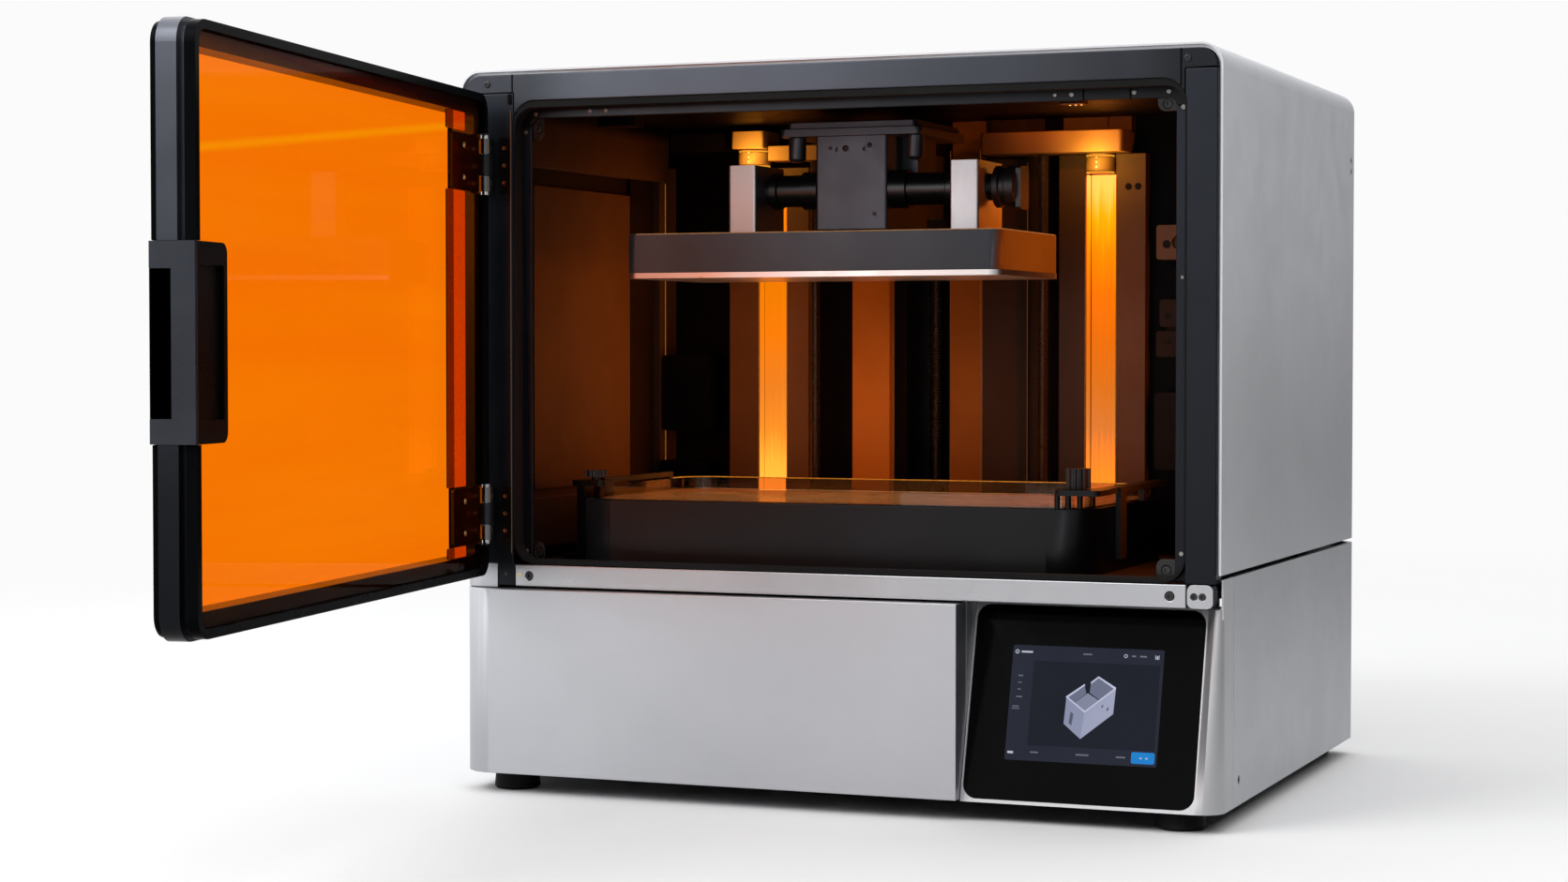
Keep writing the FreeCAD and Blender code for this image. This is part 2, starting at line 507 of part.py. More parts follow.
# Folds of the left wall: top hem, raised middle panel, lower skirt, rear corner post, and a hem under the ceiling at the right.
node("chamber_liner", fuse(liner,
                           box(d.liner_x0 - 1, d.liner_x0 + 9, -172, 58, 421, d.ceil_z + 1, "left_hem"),
                           box(d.liner_x0 - 1, d.liner_x0 + 2.6, -150, 30, 200, 408.5, "left_panel"),
                           box(d.liner_x0 - 1, d.liner_x0 + 8, -172, 52, d.floor_z + 9, 194, "left_skirt"),
                           box(d.liner_x0 - 1, d.liner_x0 + 8, 44, d.rear_wall_y, d.floor_z, 432, "left_post"),
                           box(d.liner_x1 - 6, d.liner_x1 + 1, -172, 60, 436, d.ceil_z + 1, "right_hem"), name="liner_folds"))
AXX = d.axis_x
rw = cut(box(d.liner_x0 - 8, d.liner_x1 + 5, d.rear_wall_y, d.rear_wall_y + 3, d.floor_z, d.ceil_z + 2, "rear_sheet"),
         box(AXX - d.slot_w / 2, AXX + d.slot_w / 2, d.rear_wall_y - 1, d.rear_wall_y + 4, 190, d.ceil_z - 3, "axis_slot"))


def strip(x0, x1, y_left, y_right, name):
    """A folded cover strip on the rear wall, deeper on one side than on the other."""
    body = doc.addObject("PartDesign::Body", name)
    sk = new_sketch(body, "XY_Plane", name + "_profile")
    pts = [(x0, 74.0), (x0, y_left), (x1, y_right), (x1, 74.0)]
    sk.addGeometry([Part.LineSegment(Vec(pts[i][0], pts[i][1], 0), Vec(pts[(i + 1) % 4][0], pts[(i + 1) % 4][1], 0)) for i in range(4)], False)
    C = Sketcher.Constraint
    for i in range(4):
        sk.addConstraint(C("Coincident", i, 2, (i + 1) % 4, 1))
    for i, (px, py) in enumerate(pts):
        sk.addConstraint(C("DistanceX", -1, 1, i, 1, px))
        k = sk.addConstraint(C("DistanceY", -1, 1, i, 1, py))
        if py == 74.0:
            sk.renameConstraint(k, "wall%d" % i)
            sk.setExpression("Constraints.wall%d" % i, "dims.rear_wall_y")
    pad = body.newObject("PartDesign::Pad", name + "_pad")
    pad.Profile = sk
    bind(pad, "Length", d.brkt_z0 - 4 - d.floor_z)
    return place(body, 0, 0, d.floor_z + 2)


node("chamber_rear_wall", fuse(rw, strip(-84, -54, 70, 67, "strip_a"), strip(-8, 16, 70, 66, "strip_b"), strip(16, 50, 66, 71, "strip_c"),
                               cut(box(24, 128, 66, d.rear_wall_y + 1, d.brkt_z1 + 0.4, d.ceil_z - 0.2, "upper_plate"), box(110.9, 111.3, 65, 67, d.brkt_z1, d.ceil_z, "plate_seam")), name="rear_wall_set"))

# Light columns, their diffusers, top brackets with lamp caps, and threaded tie rods.
cols, strips, brks, rods = [], [], [], []
for cx, sx in ((d.col_l, d.strip_l), (d.col_r, d.strip_r)):
    right = cx is d.col_r
    c = cut(box(cx, cx + d.col_w, d.col_y, d.rear_wall_y, d.floor_z, d.brkt_z0 - (0.4 if right else 4.6), "column"),
            box(sx - 2.4, sx + d.strip_w + 2.4, d.col_y - 1, d.col_y + 5, d.floor_z + 8, d.col_top + 0.2, "column_groove"))
    if right:
        c = cut(c, cyl(10.8, 20, sx + d.strip_w / 2, d.col_y - 2, d.col_top, name="cap_room"))
        for k in (0, 7):
            c = cut(c, cyl(2.0, 4, cx + 51 + k, d.col_y - 1, 411, "y", "column_hole"))
    cols.append(c)
    strips.append(rounded(box(sx + 1.2, sx + d.strip_w - 1.2, d.col_y + 0.6, d.col_y + 4.8, d.floor_z + 8.2, d.col_top - 0.5, "diffuser"), 1.6,
                          lambda m, t: abs(t.z) > 0.99 and m.y < 64, "diffuser_soft"))
    for ex in (sx - 1.6, sx + d.strip_w + 0.3):
        strips.append(box(ex, ex + d.edge_w, d.col_y - 1.2, d.col_y + 4.8, d.floor_z + 8.2, d.col_top - 0.5, "edge_light"))
    if right:
        brks.append(turned([(0, 0), (8, 0), (8, 1.2), (9.4, 1.2), (10.2, 2), (10.2, 11.4), (9.2, 12), (9.2, 12.8), (10.2, 12.8), (10.2, 14.2), (0, 14.2)], sx + d.strip_w / 2, d.col_y - 2, d.col_top + 0.3, name="lamp_cap"))
    else:
        brks.append(turned([(0, 0), (9.6, 0), (9.6, 1.2), (11.2, 1.2), (12, 2), (12, 10.6), (11, 11.2), (11, 12), (12, 12), (12, 13), (0, 13)], -155.5, d.col_y - 7, d.brkt_z0 - 4.3, name="lamp_cap"))
brks.append(slab("z", 24, 128.5, 40, d.rear_wall_y - 0.2, d.brkt_z0, d.brkt_z1, 3, "bracket"))
brks.append(slab("z", -168, -143, 40, d.rear_wall_y - 0.2, d.brkt_z0 + 8.8, d.brkt_z1 + 6.6, 2, "bracket"))
brks.append(slab("z", -142.8, -98, 48, d.rear_wall_y - 0.2, d.brkt_z0, d.brkt_z0 + 11, 2, "rod_bracket"))
for x in (67, -107):
    rods.append(turned([(0, 0), (d.rod_r, 0), (d.rod_r, 282.5), (0, 282.5)], x, 54, d.floor_z + 0.1, name="tie_rod"))
node("light_columns", group(*cols, name="column_set"))
node("light_strips", group(*strips, name="strip_set"))
node("lamp_brackets", group(*brks, name="bracket_set"))
node("tie_rods", group(*rods, name="rod_set"))

# Fittings on the rear wall and ceiling: sensor and service boxes.
fit = [cut(slab("y", 150, 205, 359, 383, 52, d.rear_wall_y, 2, "service_a"), cyl(5, 8, 166, 50, 371, "y", "port")),
       fuse(slab("y", 150, 205, 291, 309, 52, d.rear_wall_y, 2, "service_b"), slab("y", 153, 205, 312, 331, 50, d.rear_wall_y, 2, "service_c"),
            box(156, 203, 58, d.rear_wall_y, 308, 313)),
       slab("y", 150, 205, 212, 266, 48, d.rear_wall_y, 3, "service_d"),
       slab("y", -226, -188, 236, 292, 46, d.rear_wall_y, 2, "service_e"),
       slab("y", -226, -192, 168, 214, 40, d.rear_wall_y, 2, "service_f"),
       slab("z", -214, -186, -92, -72, d.ceil_z - 9, d.ceil_z, 3, "pod_left"),
       slab("z", 133, 149.5, -128, -114, d.ceil_z - 7, d.ceil_z, 3, "pod_right"),
       slab("y", -226, -182, 443.5, 457, 60, d.rear_wall_y, 2, "service_bar"),
       cut(slab("z", 176, 234, -36, -8, d.floor_z, d.floor_z + 2.4, 4, "floor_tab"), cyl(2.6, 6, 203, -22, d.floor_z - 1, name="tab_hole")),
       turned([(0, 0), (5.2, 0), (5.2, 1.2), (4.4, 1.6), (4.4, 6.4), (3.6, 7.2), (1.8, 7.2), (1.8, 5.6), (0, 5.6)], -219, -113, d.floor_z, name="floor_stud")]
node("service_blocks", group(*fit, name="fitting_set"))

# ------------------------------------------------- plinth, window, tank, clamps
PX0, PX1, PY0, PY1, PZ = d.plinth_x0, d.plinth_x1, d.plinth_y0, d.plinth_y1, d.plinth_z
node("plinth", cut(slab("z", PX0, PX1, PY0, PY1, d.floor_z, PZ, d.plinth_r, "plinth_outer"),
                   slab("z", PX0 + 5, PX1 - 5, PY0 + 5, PY1 - 5, d.floor_z - 1, PZ - 6, d.plinth_r - 5, "plinth_inner"),
                   slab("z", -172, 108, -151, -14, PZ - 8, PZ + 1, 6, "plinth_window")))
node("exposure_window", slab("z", -171.9, 107.9, -150.9, -14.1, PZ - 5.5, PZ - 0.3, 5.9, "mask_glass"))
TX0, TX1, TY0, TY1, TZ = d.tank_x0, d.tank_x1, d.tank_y0, d.tank_y1, d.tank_z
node("tank_tray", cut(slab("z", TX0, TX1, TY0, TY1, PZ, TZ, d.tank_r, "tank_outer"),
                      slab("z", TX0 + d.tank_t, TX1 - d.tank_t, TY0 + d.tank_t, TY1 - d.tank_t, PZ - 1, TZ + 1, d.tank_r - d.tank_t, "tank_inner")))
node("tank_film", slab("z", TX0 + d.tank_t + 0.1, TX1 - d.tank_t - 0.1, TY0 + d.tank_t + 0.1, TY1 - d.tank_t - 0.1, PZ, PZ + 0.6, d.tank_r - d.tank_t - 0.1, "film"))
left_clamp = fuse(box(-206, -200.9, -140, -124, d.floor_z, TZ + 4, "clamp_strap"),
                  slab("z", -218, -200.9, -138, -124, d.floor_z, d.floor_z + 3.4, 2, "clamp_foot"),
                  slab("z", -206, -181.5, -150, -130, TZ, TZ + 4, 4, "clamp_arm"),
                  box(-193, -188, -134, -20, TZ + 1.6, TZ + 5.2, "clamp_bar"),
                  box(-193, -188, -26, -20, TZ, TZ + 5.2, "clamp_rear_post"), name="clamp_left")
left_clamp = cut(left_clamp, cyl(3.2, 9, -191, -141, TZ - 2, name="clamp_left_bore"))
right_clamp = fuse(slab("z", 140, 171, -161, -129, TZ, TZ + 3.6, 5, "clamp_plate"),
                   *[cyl(1.9, TZ - PZ + 1, px, py, PZ, name="clamp_pillar") for px, py in ((142.5, -158.6), (149, -156.6), (155.5, -152.2))],
                   box(158, 168, -132, 14, TZ, TZ + 3.6, "clamp_bar"),
                   box(166.4, 170, -108, -94, 160, TZ + 3.6, "clamp_strap"),
                   box(161.2, 165.4, -34, -28, PZ, TZ + 1, "clamp_rear_post"), name="clamp_right")
right_clamp = cut(right_clamp, cyl(3.2, 9, 152, -144, TZ - 2, name="clamp_right_bore"))
node("tank_clamps", group(left_clamp, right_clamp, name="clamp_set"))


def fluted_knob(r, hgt, n, x, y, z, stem, name):
    """A turned thumb knob with a ring of finger flutes and a short stem below."""
    body = doc.addObject("PartDesign::Body", name)
    sk = new_sketch(body, "XY_Plane", name + "_round")
    sk.addGeometry(Part.Circle(Vec(0, 0, 0), Vec(0, 0, 1), r), False)
    sk.addConstraint([Sketcher.Constraint("Coincident", 0, 3, -1, 1), Sketcher.Constraint("Radius", 0, r)])
    pad = body.newObject("PartDesign::Pad", name + "_pad")
    pad.Profile, pad.Length = sk, hgt
    doc.recompute()
    fl = new_sketch(body, "XY_Plane", name + "_flute")
    fl.addGeometry(Part.Circle(Vec(r + 0.5, 0, 0), Vec(0, 0, 1), 1.5), False)
    fl.addConstraint([Sketcher.Constraint("Radius", 0, 1.5), Sketcher.Constraint("DistanceX", -1, 1, 0, 3, r + 0.5), Sketcher.Constraint("DistanceY", -1, 1, 0, 3, 0)])
    pk = body.newObject("PartDesign::Pocket", name + "_groove")
    pk.Profile, pk.Type, pk.Length, pk.SideType = fl, "Length", hgt * 2.2, "Symmetric"
    doc.recompute()
    pat = body.newObject("PartDesign::PolarPattern", name + "_ring")
    pat.Originals, pat.Axis, pat.Angle, pat.Occurrences = [pk], (sk, ["N_Axis"]), 360, n
    body.Tip = pat
    place(body, x, y, z)
    return fuse(body, cyl(3.0, stem + 1.0, x, y, q(z) - stem, name=name + "_stem"), name=name + "_set")


node("clamp_knob_left", fluted_knob(8.0, 4.2, 12, -191, -141, TZ + 6.4, 5.9, "knob_left"))
node("clamp_knob_right", fluted_knob(8.0, 13, 14, 152, -144, TZ + 4.0, 3.5, "knob_right"))

# ------------------------------------------------------------- vertical axis
SY, SR = d.screw_y, d.screw_r
tower = fuse(box(AXX - 68, AXX + 68, 109, 117, d.foot_h + d.pan_t, 470, "tower_plate"),
             box(AXX - 20, AXX + 20, 78, 110, d.floor_z - 1, d.floor_z + 8, "foot_bearing"),
             box(AXX - 20, AXX + 20, 80, 110, 462, 470, "top_bearing"),
             box(AXX - 68, AXX + 68, 100, 125, d.foot_h + d.pan_t, d.foot_h + d.pan_t + 5, "tower_foot"), name="tower_set")
tower = cut(tower, cyl(SR + 0.08, 360, AXX, SY, 140, name="bearing_bore"),
            box(AXX - 22, AXX + 22, 108, 118, 100, d.floor_z - 1, "motor_window"))
node("z_tower", tower)
rls = []
for s in (-1, 1):
    rl = box(AXX + d.rail_gap * s - d.rail_w / 2, AXX + d.rail_gap * s + d.rail_w / 2, 101, 109, 172, 458, "rail")
    rls.append(cut(rl, group(*[cyl(3, 5, AXX + d.rail_gap * s, 100, 185 + 25 * k, "y", "rail_hole") for k in range(11)], name="rail_holes")))
node("z_rails", group(*rls, name="rail_set"))
node("z_motor", fuse(slab("z", AXX - 21, AXX + 21, SY - 21, SY + 21, 104, 149, 4, "motor_can"), box(AXX - 8, AXX + 8, SY + 21, SY + 27, 108, 118, "motor_plug"), name="motor_set"))
node("lead_screw", turned([(0, 149.2), (4, 149.2), (SR, 151.5), (SR, 472.0), (4, 474), (0, 474)], AXX, SY, 0, name="screw_bar"))
car = fuse(box(AXX - 49, AXX + 49, 80, 88, d.plate_z1 + 3, 450, "carriage_plate"),
           box(AXX - 49, AXX - 23, 87, 107, d.plate_z1 + 8, 444, "runner_left"),
           box(AXX + 23, AXX + 49, 87, 107, d.plate_z1 + 8, 444, "runner_right"), name="carriage_set")
for s in (-1, 1):
    car = cut(car, box(AXX + d.rail_gap * s - d.rail_w / 2 - 0.4, AXX + d.rail_gap * s + d.rail_w / 2 + 0.4, 100.5, 110, 300, 500, "runner_groove"))
node("z_carriage", car)
node("lead_nut", cut(box(AXX - 15, AXX + 15, 88, 107, 396, 428, "nut_block"), cyl(SR + 0.3, 60, AXX, SY, 380, name="nut_bore")))
TRY, TRZ, TRR = d.trun_y, d.trun_z, d.trun_r
node("arm_block", cut(fuse(slab("z", AXX - 26, AXX + 26, -82.5, 0, d.plate_z1 + 4, 441, 2, "arm_head"),
                           box(AXX - 12, AXX + 12, -4, 80, d.plate_z1 + 17, 436, "arm_neck"),
                           box(AXX + 26, AXX + 37, -52, -14, 404, 441, "arm_side_box"), name="arm_set"),
                      cyl(1.6, 4, AXX - 10, -84.5, 432, "y", "arm_hole_a"), cyl(1.6, 4, AXX + 10, -84.5, 432, "y", "arm_hole_b")))
plate_top = fuse(slab("z", AXX - 51, AXX + 51, -86.5, 12, 441, 446.5, 4, "arm_plate_low"),
                 slab("z", AXX - 47, AXX + 47, -82.5, 9, 446, 451, 3, "arm_plate_top"),
                 turned([(0, 0), (4, 0), (6, 2), (6, 17), (0, 17)], AXX - 43, -73, 424.5, name="arm_stud_a"),
                 turned([(0, 0), (4, 0), (6, 2), (6, 17), (0, 17)], AXX + 43, -73, 424.5, name="arm_stud_b"), name="arm_top_set")
node("arm_top_plate", plate_top)
XL, XR = AXX - 26, AXX + 26
node("trunnions", group(
    turned([(0, 0), (TRR, 0), (TRR, 27), (12.5, 27), (12.5, 32), (11, 33), (11, 50), (13, 50), (13, 62.5), (0, 62.5)], XL - 62.5, TRY, TRZ, "x", "trunnion_left"),
    turned([(0, 0), (13, 0), (13, 12), (11, 12), (11, 40), (12.5, 41), (12.5, 45), (TRR, 45), (TRR, 72), (0, 72)], XR, TRY, TRZ, "x", "trunnion_right"), name="trunnion_set"))

# -------------------------------------------------------- build platform
node("platform_body", slab("z", d.plate_x0, d.plate_x1, d.plate_y0, d.plate_y1, d.plate_z0 + d.plate_skin, d.plate_z1, d.plate_r, "platform_block"))
node("build_surface", slab("z", d.plate_x0 - 0.3, d.plate_x1 + 0.3, d.plate_y0 - 0.3, d.plate_y1 + 0.3, d.plate_z0, d.plate_z0 + d.plate_skin, d.plate_r + 0.3, "surface_plate"))
posts = []
for px in (d.post_l, d.post_rt):
    posts.append(cut(slab("z", px, px + d.post_w, -95, -43, d.plate_z1, 422, 1.5, "post"), cyl(TRR + 0.06, 40, px - 10, TRY, TRZ, "x", "post_bore")))
node("platform_posts", group(*posts, name="post_set"))
# Locking knob with its end plate on the right end of the pivot.
kx = XR + 72.4
node("level_knob", fuse(turned([(0, 0), (11, 0), (14, 1.5), (14, 5), (12.5, 6), (12.5, 9), (14, 10), (14, 16), (12.5, 17.5), (0, 17.5)], kx, TRY, TRZ, "x", "knob_round"),
                        slab("x", TRY - 9, TRY + 9, TRZ - 15.5, TRZ + 13.5, kx + 17, kx + 20.6, 2, "knob_plate"), name="level_knob_set"))

# --------------------------------------------------- base electronics and optics
fins = [box(-136 + 12 * i, -132 + 12 * i, -139, -25, 34, 61) for i in range(18)]
node("light_engine", fuse(cut(box(-138, 74, -142, -22, 60, 120, "engine_case"), box(-128, 64, -132, -32, 70, 121, "engine_void")), *fins, name="engine_set"))
psu = box(60, 170, 60, 170, 15, 57, "supply_case")
node("power_supply", cut(psu, group(*[cyl(3, 4, 75 + 16 * i, 75 + 16 * j, 54, name="supply_hole") for i in range(6) for j in range(6)], name="supply_holes")))
node("main_board", fuse(box(-210, -110, 20, 130, 21, 22.6, "board"), *[cyl(3, 6.5, x, y, 15, name="standoff") for x in (-204, -116) for y in (26, 124)],
                        box(-175, -145, 60, 90, 22, 27, "chip_block"), box(-205, -190, 40, 70, 22, 34, "terminal"), box(-135, -120, 90, 115, 22, 32, "terminal"), name="board_set"))
inlet = fuse(box(-206.5, -149.5, B - 3, B, 44.5, 75.5, "inlet_body"), slab("y", -211, -145, 40, 80, B, B + 2, 4, "inlet_flange"),
             box(-205, -151, B - 26, B - 2.5, 46, 74, "inlet_rear"), name="inlet_block")
inlet = cut(inlet, slab("y", -204, -177, 49, 71, B - 16, B + 3, 4, "inlet_socket"), box(-169, -153, B - 15, B + 3, 48, 72, "switch_well"))
inlet = fuse(inlet, *[box(x - 0.9, x + 0.9, B - 17, B - 4, z - 2, z + 2) for x, z in ((-197.5, 58), (-183.5, 58), (-190.5, 64))], name="inlet_set")
node("power_inlet", inlet)
node("power_switch", fuse(rounded(box(-167, -155, B - 7, B + 3.2, 50.5, 69.5, "rocker"), 0.8, lambda m, t: abs(t.x) > 0.99 and m.y > 205, "rocker_soft"),
                          cyl(1.5, 15.8, -168.9, B - 4, 60, "x", "rocker_pivot"), name="rocker_set"))

# ---------------------------------------------------------------------- door
HX, HY = d.hinge_x, d.hinge_y
U0, U1, DZ0, DZ1 = HX + d.door_u0, HX + d.door_u1, d.door_z0, d.door_z1
swing = tilted(Vec(HX.v, HY.v, 0), -d.door_open.v)
HZ0, HZ1 = d.handle_z0, d.handle_z1
HU = HX + d.handle_u


def handle_room(grow):
    """Space kept for the handle: the end block and the pad on the inner face."""
    return (box(U1 - 14 - grow, U1 + 3, d.door_out - 1, d.door_in + 2, HZ0 - grow, HZ1 + grow, "handle_room"),
            box(HU - grow, U1 + 3, d.door_seat, d.door_in + 2, HZ0 - grow, HZ1 + grow, "handle_room_pad"))


def door_ring(inset, rail_w, y0, y1, r, name):
    return cut(slab("y", U0 + inset, U1 - inset, DZ0 + inset, DZ1 - inset, y0, y1, r, name + "_outer"),
               slab("y", U0 + rail_w, U1 - rail_w, DZ0 + rail_w, DZ1 - rail_w, y0 - q(1), y1 + q(1), 5, name + "_inner"))


dframe = fuse(door_ring(0, d.door_rail, d.door_mid, d.door_neck, d.door_r, "band"),
              door_ring(4.5, d.door_rail, d.door_neck - 0.5, d.door_seat, d.door_r - 4.5, "neck"), name="door_bars")
leaf_pockets = []
for hz in (d.hinge_lo, d.hinge_hi):
    leaf_pockets.append(box(HX - 1, HX + 37, d.door_seat - 2.3, d.door_seat + 1, hz - 2, hz + d.hinge_l + 2, "leaf_pocket"))
dframe = cut(dframe, *handle_room(0.2), *leaf_pockets)
dframe.Placement = swing
node("door_frame", dframe)

dcover = cut(door_ring(2, d.door_rail - 1, d.door_out, d.door_mid, d.door_r - 2, "trim"), handle_room(0.2)[0])
dcover.Placement = swing
node("door_cover", dcover)

dring = cut(cut(slab("y", U0 + 1.5, U1 - 1.5, DZ0 + 1.5, DZ1 - 1.5, d.door_seat, d.door_in, d.door_r - 1.5, "bead_outer"),
                slab("y", U0 + 6.5, U1 - 6.5, DZ0 + 6.5, DZ1 - 6.5, d.door_seat - 1, d.door_in + 1, d.door_r - 6.5, "bead_inner")), handle_room(0.2)[1],
            *[box(U0 - 1, U0 + 7, d.door_seat - 1, d.door_in + 1, hz - 2.6, hz + d.hinge_l + 2.6, "bead_gap") for hz in (d.hinge_lo, d.hinge_hi)])
dring.Placement = swing
node("door_ring", dring)

dpanel = cut(slab("y", U0 + 6.7, U1 - 6.7, DZ0 + 6.7, DZ1 - 6.7, d.door_seat, d.door_seat + d.panel_t, d.door_r - 6.7, "panel_sheet"), handle_room(0.2)[1])
dpanel.Placement = swing
node("door_panel", dpanel)

dh = fuse(box(U1 - 13.8, U1 + 0.5, d.door_out, d.door_in, HZ0, HZ1, "handle_end"),
          slab("y", HU, U1 + 0.5, HZ0, HZ1, d.door_seat + 0.1, d.door_in, 6, "handle_pad"), name="handle_set")
dh = cut(dh, box(U1 - 11, U1 + 2, d.door_out - 1, d.door_out + 12, HZ0 + 13, HZ1 - 14, "finger_slot"),
         box(U1 - 36, U1 - 6, d.door_in - 2.6, d.door_in + 1, HZ0 + 12, HZ1 - 12, "pad_recess"))
dh.Placement = swing
node("door_handle", dh)

leaves_d, leaves_f, pins = [], [], []
for hz in (d.hinge_lo, d.hinge_hi):
    ld = fuse(cyl(d.knuckle_r, 14.4, HX, HY, hz + 10.3, name="knuckle_mid"),
              box(HX, HX + 13, d.door_seat - 2.1, d.door_seat - 0.1, hz + 10.3, hz + 24.7, "leaf_neck"),
              slab("y", HX + 11, HX + 64, hz - 1, hz + d.hinge_l + 1, d.door_seat - 2.1, d.door_seat - 0.1, 2, "leaf"), name="leaf_door")
    ld = cut(ld, cyl(d.pin_r + 0.08, 60, HX, HY, hz - 10, name="knuckle_bore"))
    leaves_d.append(ld)
    lf = fuse(cyl(d.knuckle_r, 10, HX, HY, hz, name="knuckle_low"), cyl(d.knuckle_r, 10, HX, HY, hz + 25, name="knuckle_high"),
              box(HX - 17.5, HX - 6.5, F - 2.2, F - 0.05, hz, hz + d.hinge_l, "leaf"),
              box(HX - 8, HX, F - 4.4, F - 0.05, hz, hz + 10, "leaf_tab_low"), box(HX - 8, HX, F - 4.4, F - 0.05, hz + 25, hz + 35, "leaf_tab_high"), name="leaf_frame")
    lf = cut(lf, cyl(d.pin_r, 60, HX, HY, hz - 10, name="knuckle_bore"))
    leaves_f.append(lf)
    pins.append(turned([(0, -2.4), (3.4, -2.4), (3.4, -0.1), (d.pin_r, -0.1), (d.pin_r, 35.1), (3.4, 35.1), (3.4, 37.4), (0, 37.4)], HX, HY, hz, name="pin"))
gd = group(*leaves_d, name="leaf_door_set")
gd.Placement = swing
node("hinge_leaves_door", gd)
node("hinge_leaves_frame", group(*leaves_f, name="leaf_frame_set"))
node("hinge_pins", group(*pins, name="pin_set"))

# Screws of the corner gussets.
for side, z0, z1, sx, sz in GUSSETS:
    head(sx, FB + 0.3, sz, "y", 1, 2.6)
hs = group(*heads, name="head_set")
node("case_screws", hs)

# ----------------------------------------------------------- check and write
doc.recompute()
bad = []
for o in doc.Objects:
    if any(s in ("Invalid", "Error") for s in o.State):
        bad.append("%s (%s): %s" % (o.Label, o.Name, o.State))
for name, o in NODES.items():
    s = o.Shape
    if s.isNull() or not s.isValid() or not s.Solids:
        bad.append("%s: null, invalid or empty" % name)
if bad:
    raise RuntimeError("; ".join(bad))
print(len(NODES), "nodes")
for name, o in NODES.items():
    s = o.Shape
    bb = s.BoundBox
    print("%-20s solids %2d vol %10.1f  x %.1f..%.1f y %.1f..%.1f z %.1f..%.1f" % (name, len(s.Solids), s.Volume, bb.XMin, bb.XMax, bb.YMin, bb.YMax, bb.ZMin, bb.ZMax))
    s.exportStep("parts/%s.step" % name)
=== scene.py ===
import json
import math

import bmesh
import bpy
from mathutils import Matrix, Vector

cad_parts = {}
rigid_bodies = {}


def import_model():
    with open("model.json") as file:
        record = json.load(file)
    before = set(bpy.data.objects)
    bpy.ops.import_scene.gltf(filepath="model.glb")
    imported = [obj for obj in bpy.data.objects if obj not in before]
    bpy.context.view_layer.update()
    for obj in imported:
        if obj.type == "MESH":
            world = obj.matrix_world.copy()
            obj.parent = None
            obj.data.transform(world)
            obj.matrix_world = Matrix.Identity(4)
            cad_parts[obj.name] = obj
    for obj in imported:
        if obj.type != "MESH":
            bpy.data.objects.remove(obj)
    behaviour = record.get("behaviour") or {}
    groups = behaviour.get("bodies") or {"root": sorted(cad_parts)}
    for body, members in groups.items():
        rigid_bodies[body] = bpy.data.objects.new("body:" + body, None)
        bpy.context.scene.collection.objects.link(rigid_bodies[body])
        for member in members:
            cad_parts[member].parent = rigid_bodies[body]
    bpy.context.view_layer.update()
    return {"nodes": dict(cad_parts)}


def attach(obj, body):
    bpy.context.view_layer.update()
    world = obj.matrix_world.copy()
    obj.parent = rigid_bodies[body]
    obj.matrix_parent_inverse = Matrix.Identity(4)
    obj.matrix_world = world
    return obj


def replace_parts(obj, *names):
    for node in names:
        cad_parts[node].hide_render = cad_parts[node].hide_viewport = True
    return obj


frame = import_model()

scene = bpy.context.scene
scene.view_settings.view_transform = "Standard"
scene.view_settings.look = "None"
scene.view_settings.exposure = 0.0
scene.view_settings.gamma = 1.0
N = frame["nodes"]
MM = 0.001


# ------------------------------------------------------------------ node helpers
def new_material(name):
    m = bpy.data.materials.new(name)
    m.use_nodes = True
    nt = m.node_tree
    nt.nodes.clear()
    out = nt.nodes.new("ShaderNodeOutputMaterial")
    bs = nt.nodes.new("ShaderNodeBsdfPrincipled")
    nt.links.new(bs.outputs["BSDF"], out.inputs["Surface"])
    return m, nt, bs


def coords(nt, stretch=(1, 1, 1)):
    tc = nt.nodes.new("ShaderNodeTexCoord")
    mp = nt.nodes.new("ShaderNodeMapping")
    mp.inputs["Scale"].default_value = stretch
    nt.links.new(tc.outputs["Object"], mp.inputs["Vector"])
    return mp.outputs["Vector"]


def noise(nt, vec, scale, detail=3.0, rough=0.5):
    n = nt.nodes.new("ShaderNodeTexNoise")
    n.inputs["Scale"].default_value = scale
    n.inputs["Detail"].default_value = detail
    n.inputs["Roughness"].default_value = rough
    nt.links.new(vec, n.inputs["Vector"])
    return n.outputs["Fac"]


def remap(nt, fac, lo, hi, a=0.3, b=0.7):
    r = nt.nodes.new("ShaderNodeMapRange")
    r.inputs["From Min"].default_value = a
    r.inputs["From Max"].default_value = b
    r.inputs["To Min"].default_value = lo
    r.inputs["To Max"].default_value = hi
    nt.links.new(fac, r.inputs["Value"])
    return r.outputs["Result"]


def two_tone(nt, fac, c1, c2):
    mx = nt.nodes.new("ShaderNodeMix")
    mx.data_type = "RGBA"
    mx.inputs[6].default_value = (*c1, 1)
    mx.inputs[7].default_value = (*c2, 1)
    nt.links.new(fac, mx.inputs[0])
    return mx.outputs[2]


def add_bump(nt, bs, height, strength, distance):
    b = nt.nodes.new("ShaderNodeBump")
    b.inputs["Strength"].default_value = strength
    b.inputs["Distance"].default_value = distance
    nt.links.new(height, b.inputs["Height"])
    nt.links.new(b.outputs["Normal"], bs.inputs["Normal"])
    return b


